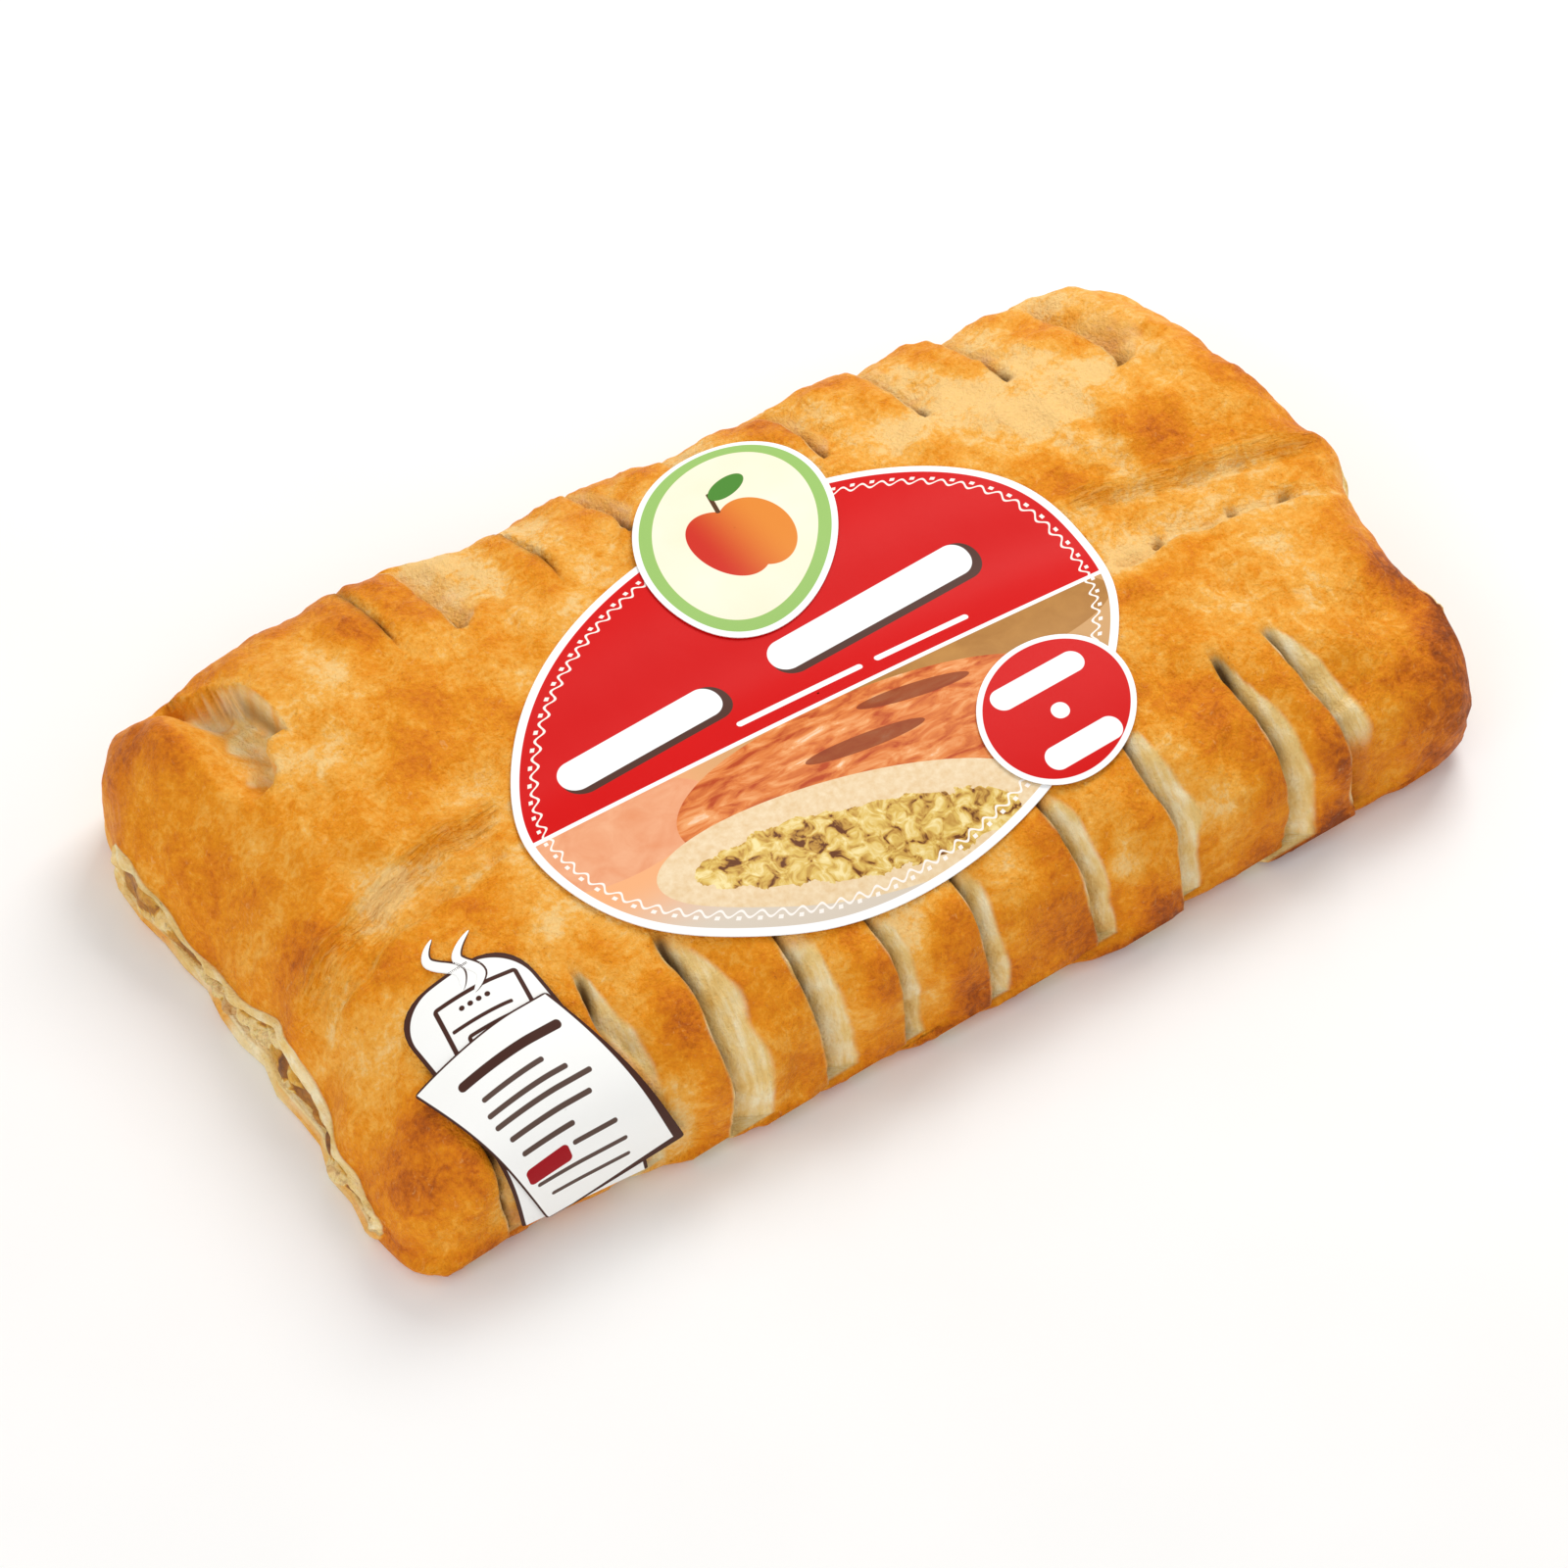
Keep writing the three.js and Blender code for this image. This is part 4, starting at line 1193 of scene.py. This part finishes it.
def paint_oval(tree, u, v, place):
    """The oval: red field with bars, picture field, scalloped line and white rim."""
    cx, cs, a, b, turn = LABELS["label_oval"]
    edge = ellipse_distance(tree, u, v, cx, cs, a, b, turn)
    over = add(tree, "SUBTRACT", (v, FIELD_LINE))
    red = title_bars(tree, u, v, uneven_ink(tree, place, 16, *LABEL_RED))
    colour = add(tree, "Mix", (crisp(tree, over), paint_picture(tree, u, v, place), red))
    colour = add(tree, "Mix", (ring(tree, over, 1.1), colour, "#FFFFFF"))
    p, q = turned(tree, u, v, cx, cs, turn)
    angle = add(tree, "ARCTAN2", (add(tree, "DIVIDE", (q, b)), add(tree, "DIVIDE", (p, a))))
    uneven = add(tree, "SINE", (add(tree, "MULTIPLY", (angle, 2.0)),))
    run = add(tree, "MULTIPLY_ADD", (uneven, -(a - b) / (a + b) / 2, angle))
    wave = add(tree, "SINE", (add(tree, "MULTIPLY", (run, float(SCALLOPS))),))
    path = add(tree, "SUBTRACT", (add(tree, "MULTIPLY_ADD", (wave, 0.7, SCALLOP_IN)), edge))
    colour = add(tree, "Mix", (ring(tree, path, 0.5), colour, "#FFF6EE"))
    crests = crisp(tree, add(tree, "SUBTRACT", (wave, 0.75)))
    inner_line = ring(tree, add(tree, "SUBTRACT", (SCALLOP_IN - 0.9, edge)), 0.8)
    dot_row = add(tree, "MULTIPLY", (crests, inner_line))
    colour = add(tree, "Mix", (dot_row, colour, "#FFF6EE"))
    return add(tree, "Mix", (crisp(tree, add(tree, "SUBTRACT", (OVAL_RIM, edge))), colour, "#FFFFFF"))


border_sheet(
    "oval_label", ellipse_border("label_oval", 220), LABELS["label_oval"][:2], LIFT, 44,
    print_material("red label ink on clear film", paint_oval), "label_oval",
)

# %% The round badge and the small badge
def paint_round(tree, u, v, place):
    """A cream disc in a pale green ring with a plain apple."""
    cx, cs, a, b, turn = LABELS["badge_round"]
    edge = ellipse_distance(tree, u, v, cx, cs, a, b, turn)
    colour = uneven_ink(tree, place, 14, "#F7EBCB", "#FBF4E2")
    colour = add(tree, "Mix", (crisp(tree, add(tree, "SUBTRACT", (4.0, edge))), colour, "#9CC46C"))
    left = ellipse_distance(tree, u, v, cx - 3.4, cs - 3.0, 7.4, 10.4, 6)
    right = ellipse_distance(tree, u, v, cx + 3.4, cs - 3.0, 7.4, 10.4, -6)
    blush = add(tree, "Mix", (add(tree, "MapRange", (u, cx - 9, cx + 7)), "#CE3020", "#E58A34"))
    colour = add(tree, "Mix", (crisp(tree, add(tree, "MAXIMUM", (left, right))), colour, blush))
    stem = bar_distance(tree, u, v, cx + 0.4, cs + 9.0, 3.4, 0.5, 78, 0.4)
    colour = add(tree, "Mix", (crisp(tree, stem), colour, "#5A3A20"))
    leaf = ellipse_distance(tree, u, v, cx + 5.2, cs + 12.0, 5.0, 2.6, 22)
    colour = add(tree, "Mix", (crisp(tree, leaf), colour, "#4E8A34"))
    return add(tree, "Mix", (crisp(tree, add(tree, "SUBTRACT", (1.3, edge))), colour, "#FFFFFF"))


def paint_small(tree, u, v, place):
    """A red disc with three white bars in a white rim."""
    cx, cs, a, b, turn = LABELS["badge_small"]
    edge = ellipse_distance(tree, u, v, cx, cs, a, b, turn)
    colour = uneven_ink(tree, place, 14, *LABEL_RED)
    for cv, half, high in ((cs + 6.9, 11.0, 2.6), (cs - 1.2, 1.9, 1.8), (cs - 9.6, 9.0, 2.6)):
        bar = bar_distance(tree, u, v, cx, cv, half, high, 3, high - 0.05)
        colour = add(tree, "Mix", (crisp(tree, bar), colour, "#FFFFFF"))
    return add(tree, "Mix", (crisp(tree, add(tree, "SUBTRACT", (1.2, edge))), colour, "#FFFFFF"))


border_sheet(
    "round_badge", ellipse_border("badge_round", 120), LABELS["badge_round"][:2], LIFT + STACK, 26,
    print_material("badge ink on clear film", paint_round), "badge_round",
)
border_sheet(
    "small_badge", ellipse_border("badge_small", 110), LABELS["badge_small"][:2], LIFT + STACK, 22,
    print_material("small badge ink on clear film", paint_small), "badge_small",
)

# %% [markdown]
# Near the left end two more prints overlap: a card with a line drawing of an oven, and a slip of
# paper over its lower half with a few lines of instructions. The lines are plain bars here. Each
# has a drawn brown outline, heavy along the slip's right and lower sides like a shadow.

# %% Card, slip and steam
INK = "#4A2C24"
CARD_WHITE = ("#FBFAF6", "#FFFFFD")


def half_plane(tree, u, v, start, stop):
    """How far a place lies to the right of the line from start to stop, mm."""
    way = (stop - start) / np.linalg.norm(stop - start)
    across = add(tree, "MULTIPLY", (add(tree, "SUBTRACT", (u, float(start[0]))), float(way[1])))
    return add(
        tree, "MULTIPLY_ADD", (add(tree, "SUBTRACT", (v, float(start[1]))), float(-way[0]), across)
    )


def paint_card(tree, u, v, place):
    """White card, brown outline, an oven drawn with lines: frame, four knobs, handle, window."""
    left = half_plane(tree, u, v, CARD_CORNERS[3], CARD_CORNERS[0])
    right = half_plane(tree, u, v, CARD_CORNERS[1], CARD_CORNERS[2])
    top = half_plane(tree, u, v, CARD_CORNERS[0], CARD_CORNERS[1])
    edge = add(tree, "MINIMUM", (add(tree, "MINIMUM", (left, right)), top))
    corner = 9.0
    for one in (left, right):
        a = add(tree, "MAXIMUM", (add(tree, "SUBTRACT", (corner, one)), 0.0))
        b = add(tree, "MAXIMUM", (add(tree, "SUBTRACT", (corner, top)), 0.0))
        edge = add(tree, "MINIMUM", (edge, add(tree, "SUBTRACT", (corner, diagonal(tree, a, b)))))
    colour = uneven_ink(tree, place, 12, *CARD_WHITE)
    frame_box = bar_distance(tree, u, v, -92.4, -49.5, 8.3, 10.2, -4, 0.5)
    colour = add(tree, "Mix", (ring(tree, frame_box, 0.9), colour, INK))
    for knob in range(4):
        dot = ellipse_distance(tree, u, v, -95.6 + 1.75 * knob, -41.6 - 0.12 * knob, 0.55, 0.55)
        colour = add(tree, "Mix", (crisp(tree, dot), colour, INK))
    handle = bar_distance(tree, u, v, -93.2, -45.2, 6.2, 0.4, -4, 0.3)
    colour = add(tree, "Mix", (crisp(tree, handle), colour, INK))
    window = bar_distance(tree, u, v, -92.6, -55.0, 5.2, 7.2, -4, 0.5)
    colour = add(tree, "Mix", (ring(tree, window, 0.8), colour, INK))
    return add(tree, "Mix", (crisp(tree, add(tree, "SUBTRACT", (0.75, edge))), colour, INK))


def paint_slip(tree, u, v, place):
    """White slip with bars for its lines of words, a dark red tag among them, and brown sides."""
    top_left, top_right, low_right, low_left = NOTE_CORNERS
    left = half_plane(tree, u, v, low_left, top_left)
    top = half_plane(tree, u, v, top_left, top_right)
    right = half_plane(tree, u, v, top_right, low_right)
    low = half_plane(tree, u, v, low_right, low_left)
    colour = uneven_ink(tree, place, 12, *CARD_WHITE)
    title = bar_distance(tree, u, v, -92.6, -54.6, 11.0, 1.0, 3, 0.9)
    colour = add(tree, "Mix", (crisp(tree, title), colour, INK))
    lines = (
        (-94.6, -59.4, 6.6), (-93.2, -62.6, 8.6), (-91.2, -65.2, 10.4), (-91.4, -68.6, 8.8),
        (-93.6, -72.4, 5.6), (-84.8, -75.4, 4.8), (-88.4, -80.4, 9.6), (-87.0, -84.8, 8.4),
    )
    for cu, cv, half in lines:
        bar = bar_distance(tree, u, v, cu, cv, half, 0.55, 4, 0.5)
        colour = add(tree, "Mix", (crisp(tree, bar), colour, "#5E4A42"))
    tag = bar_distance(tree, u, v, -95.0, -77.6, 4.6, 2.0, 8, 1.0)
    colour = add(tree, "Mix", (crisp(tree, tag), colour, "#A3121C"))
    thick = add(tree, "MULTIPLY_ADD", (add(tree, "MapRange", (v, -50, -90)), 1.5, 0.5))
    heavy = add(tree, "SUBTRACT", (thick, right))
    growing = add(tree, "MULTIPLY_ADD", (add(tree, "MapRange", (u, -98, -66)), 1.5, 0.35))
    heavy = add(tree, "MAXIMUM", (heavy, add(tree, "SUBTRACT", (growing, low))))
    thin = add(tree, "SUBTRACT", (0.4, add(tree, "MINIMUM", (left, top))))
    return add(tree, "Mix", (crisp(tree, add(tree, "MAXIMUM", (heavy, thin))), colour, INK))


card_border = rounded_border(CARD_CORNERS, (9, 9, 1, 1))
slip_border = rounded_border(NOTE_CORNERS, (1, 1, 1, 1))
border_sheet(
    "oven_card", card_border, CARD_CORNERS.mean(axis=0), LIFT, 26,
    print_material("white card print on clear film", paint_card), "note_card",
)
border_sheet(
    "paper_slip", slip_border, NOTE_CORNERS.mean(axis=0), LIFT + STACK, 26,
    print_material("white slip print on clear film", paint_slip), "note_sheet",
)

WISPS = (  # centre line of each curl of steam from its tip down, on the unrolled crust
    ((-92.0, -24.0), (-96.4, -27.2), (-95.4, -30.6), (-92.0, -33.6), (-92.2, -36.4), (-94.0, -39.0)),
    ((-85.2, -26.6), (-91.2, -30.4), (-91.2, -33.2), (-88.4, -36.2), (-89.6, -38.8), (-92.6, -40.6)),
)


def paint_steam(tree, u, v, place):
    """White, with the brown line on the curl's right that the mesh's value marks."""
    white = uneven_ink(tree, place, 12, *CARD_WHITE)
    side = add(tree, "Attribute", out="Fac", attribute_name="side")
    return add(tree, "Mix", (add(tree, "MapRange", (side, 0.62, 0.7)), white, INK))


WISP_STEPS, WISP_ROWS = 60, 9


def steam_ribbon(line):
    """A curl: a smooth line through the places, as wide as a leaf, closed like a flat tube."""
    line = np.array(line)
    t = np.linspace(0, 1, WISP_STEPS)
    knots = np.linspace(0, 1, len(line))
    x = curved(t, knots, line[:, 0], 0.12)
    s = curved(t, knots, line[:, 1], 0.12)
    way = np.stack([np.gradient(x), np.gradient(s)], -1)
    way /= np.linalg.norm(way, axis=-1, keepdims=True)
    wide = 0.12 + 1.15 * np.sin(np.pi * np.clip(t, 0, 1)) ** 0.8
    across = np.concatenate([np.linspace(-1, 1, WISP_ROWS), np.linspace(1, -1, WISP_ROWS)])
    level = np.concatenate([np.full(WISP_ROWS, SHEET), np.zeros(WISP_ROWS)])
    px = x[:, None] - way[:, 1:2] * wide[:, None] * across
    ps = s[:, None] + way[:, 0:1] * wide[:, None] * across
    points = on_crust(px, ps, LIFT + level + 0 * px)
    return points, np.broadcast_to(across, px.shape), np.stack([px, ps], -1)


ribbons = [steam_ribbon(line) for line in WISPS]
steam_points = np.concatenate([ribbon[0].reshape(-1, 3) for ribbon in ribbons])
curl_faces = grid_faces(WISP_STEPS, 2 * WISP_ROWS, False, True)
steam_faces = np.concatenate([curl_faces, curl_faces + WISP_STEPS * 2 * WISP_ROWS])
steam = make_object(
    "steam_curls", steam_points, steam_faces,
    print_material("steam print on clear film", paint_steam),
    {"side": np.concatenate([ribbon[1].ravel() for ribbon in ribbons])},
    np.concatenate([ribbon[2].reshape(-1, 2) for ribbon in ribbons]) * MM,
)
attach(steam, "root")

# %% Floor, light and camera
def pale_floor():
    """Matt white paper under and behind the roll."""
    material, tree = new_material("matt white paper sweep")
    place = add(tree, "TexCoord", out="Object")
    cloud = add(
        tree, "TexNoise", {"Vector": place, "Scale": 1 / (60 * MM), "Detail": 3, "Roughness": 0.5}
    )
    fibre = add(
        tree, "TexNoise", {"Vector": place, "Scale": 1 / (0.8 * MM), "Detail": 3, "Roughness": 0.5}
    )
    white = add(tree, "Mix", (cloud, "#F6F5F3", "#FBFAF9"))
    finish_surface(tree, white, 0.9, fibre, 0.00005, 0.2)
    return material


SWEEP_REACH, SWEEP_POINTS, SWEEP_Z = 3000.0, 9, -0.05  # mm each way, points a side, height
sweep_line = np.linspace(-SWEEP_REACH, SWEEP_REACH, SWEEP_POINTS)
sweep_x, sweep_y = np.meshgrid(sweep_line, sweep_line, indexing="ij")
sweep_points = np.stack([sweep_x, sweep_y, np.full(sweep_x.shape, SWEEP_Z)], -1)
sweep_faces = grid_faces(SWEEP_POINTS, SWEEP_POINTS, False, False)
floor = make_object("paper_sweep", sweep_points, sweep_faces, pale_floor())

LOOK_AT = Vector((-0.0074, -0.0139, 0.0185))


def soft_box(name, place, size, power, colour):
    """A large square lamp that faces the roll."""
    lamp = bpy.data.lights.new(name, "AREA")
    lamp.shape = "SQUARE"
    lamp.size = size
    lamp.energy = power
    lamp.color = linear(colour)[:3]
    box = bpy.data.objects.new(name, lamp)
    box.location = place
    box.rotation_euler = (LOOK_AT - Vector(place)).to_track_quat("-Z", "Y").to_euler()
    bpy.context.scene.collection.objects.link(box)


soft_box("key soft box", (0.55, 0.35, 0.75), 0.5, 5.6, "#FFFEFC")
soft_box("fill soft box", (-0.9, -0.45, 0.6), 0.9, 4.0, "#FFFFFF")

world = bpy.data.worlds.new("studio room")
bpy.context.scene.world = world
world.use_nodes = True
sky = world.node_tree.nodes["Background"]
sky.inputs["Color"].default_value = linear("#FFFFFF")
sky.inputs["Strength"].default_value = 0.6
bpy.context.scene.view_settings.view_transform = "Standard"

CAMERA_PLACE = Vector((-0.3528, -0.5560, 0.7845))
camera_data = bpy.data.cameras.new("camera")
camera_data.lens = 115.875
camera_data.sensor_width = 36.0
camera_data.clip_start = 0.05
camera = bpy.data.objects.new("camera", camera_data)
camera.location = CAMERA_PLACE
camera.rotation_euler = (LOOK_AT - CAMERA_PLACE).to_track_quat("-Z", "Y").to_euler()
bpy.context.scene.collection.objects.link(camera)
bpy.context.scene.camera = camera
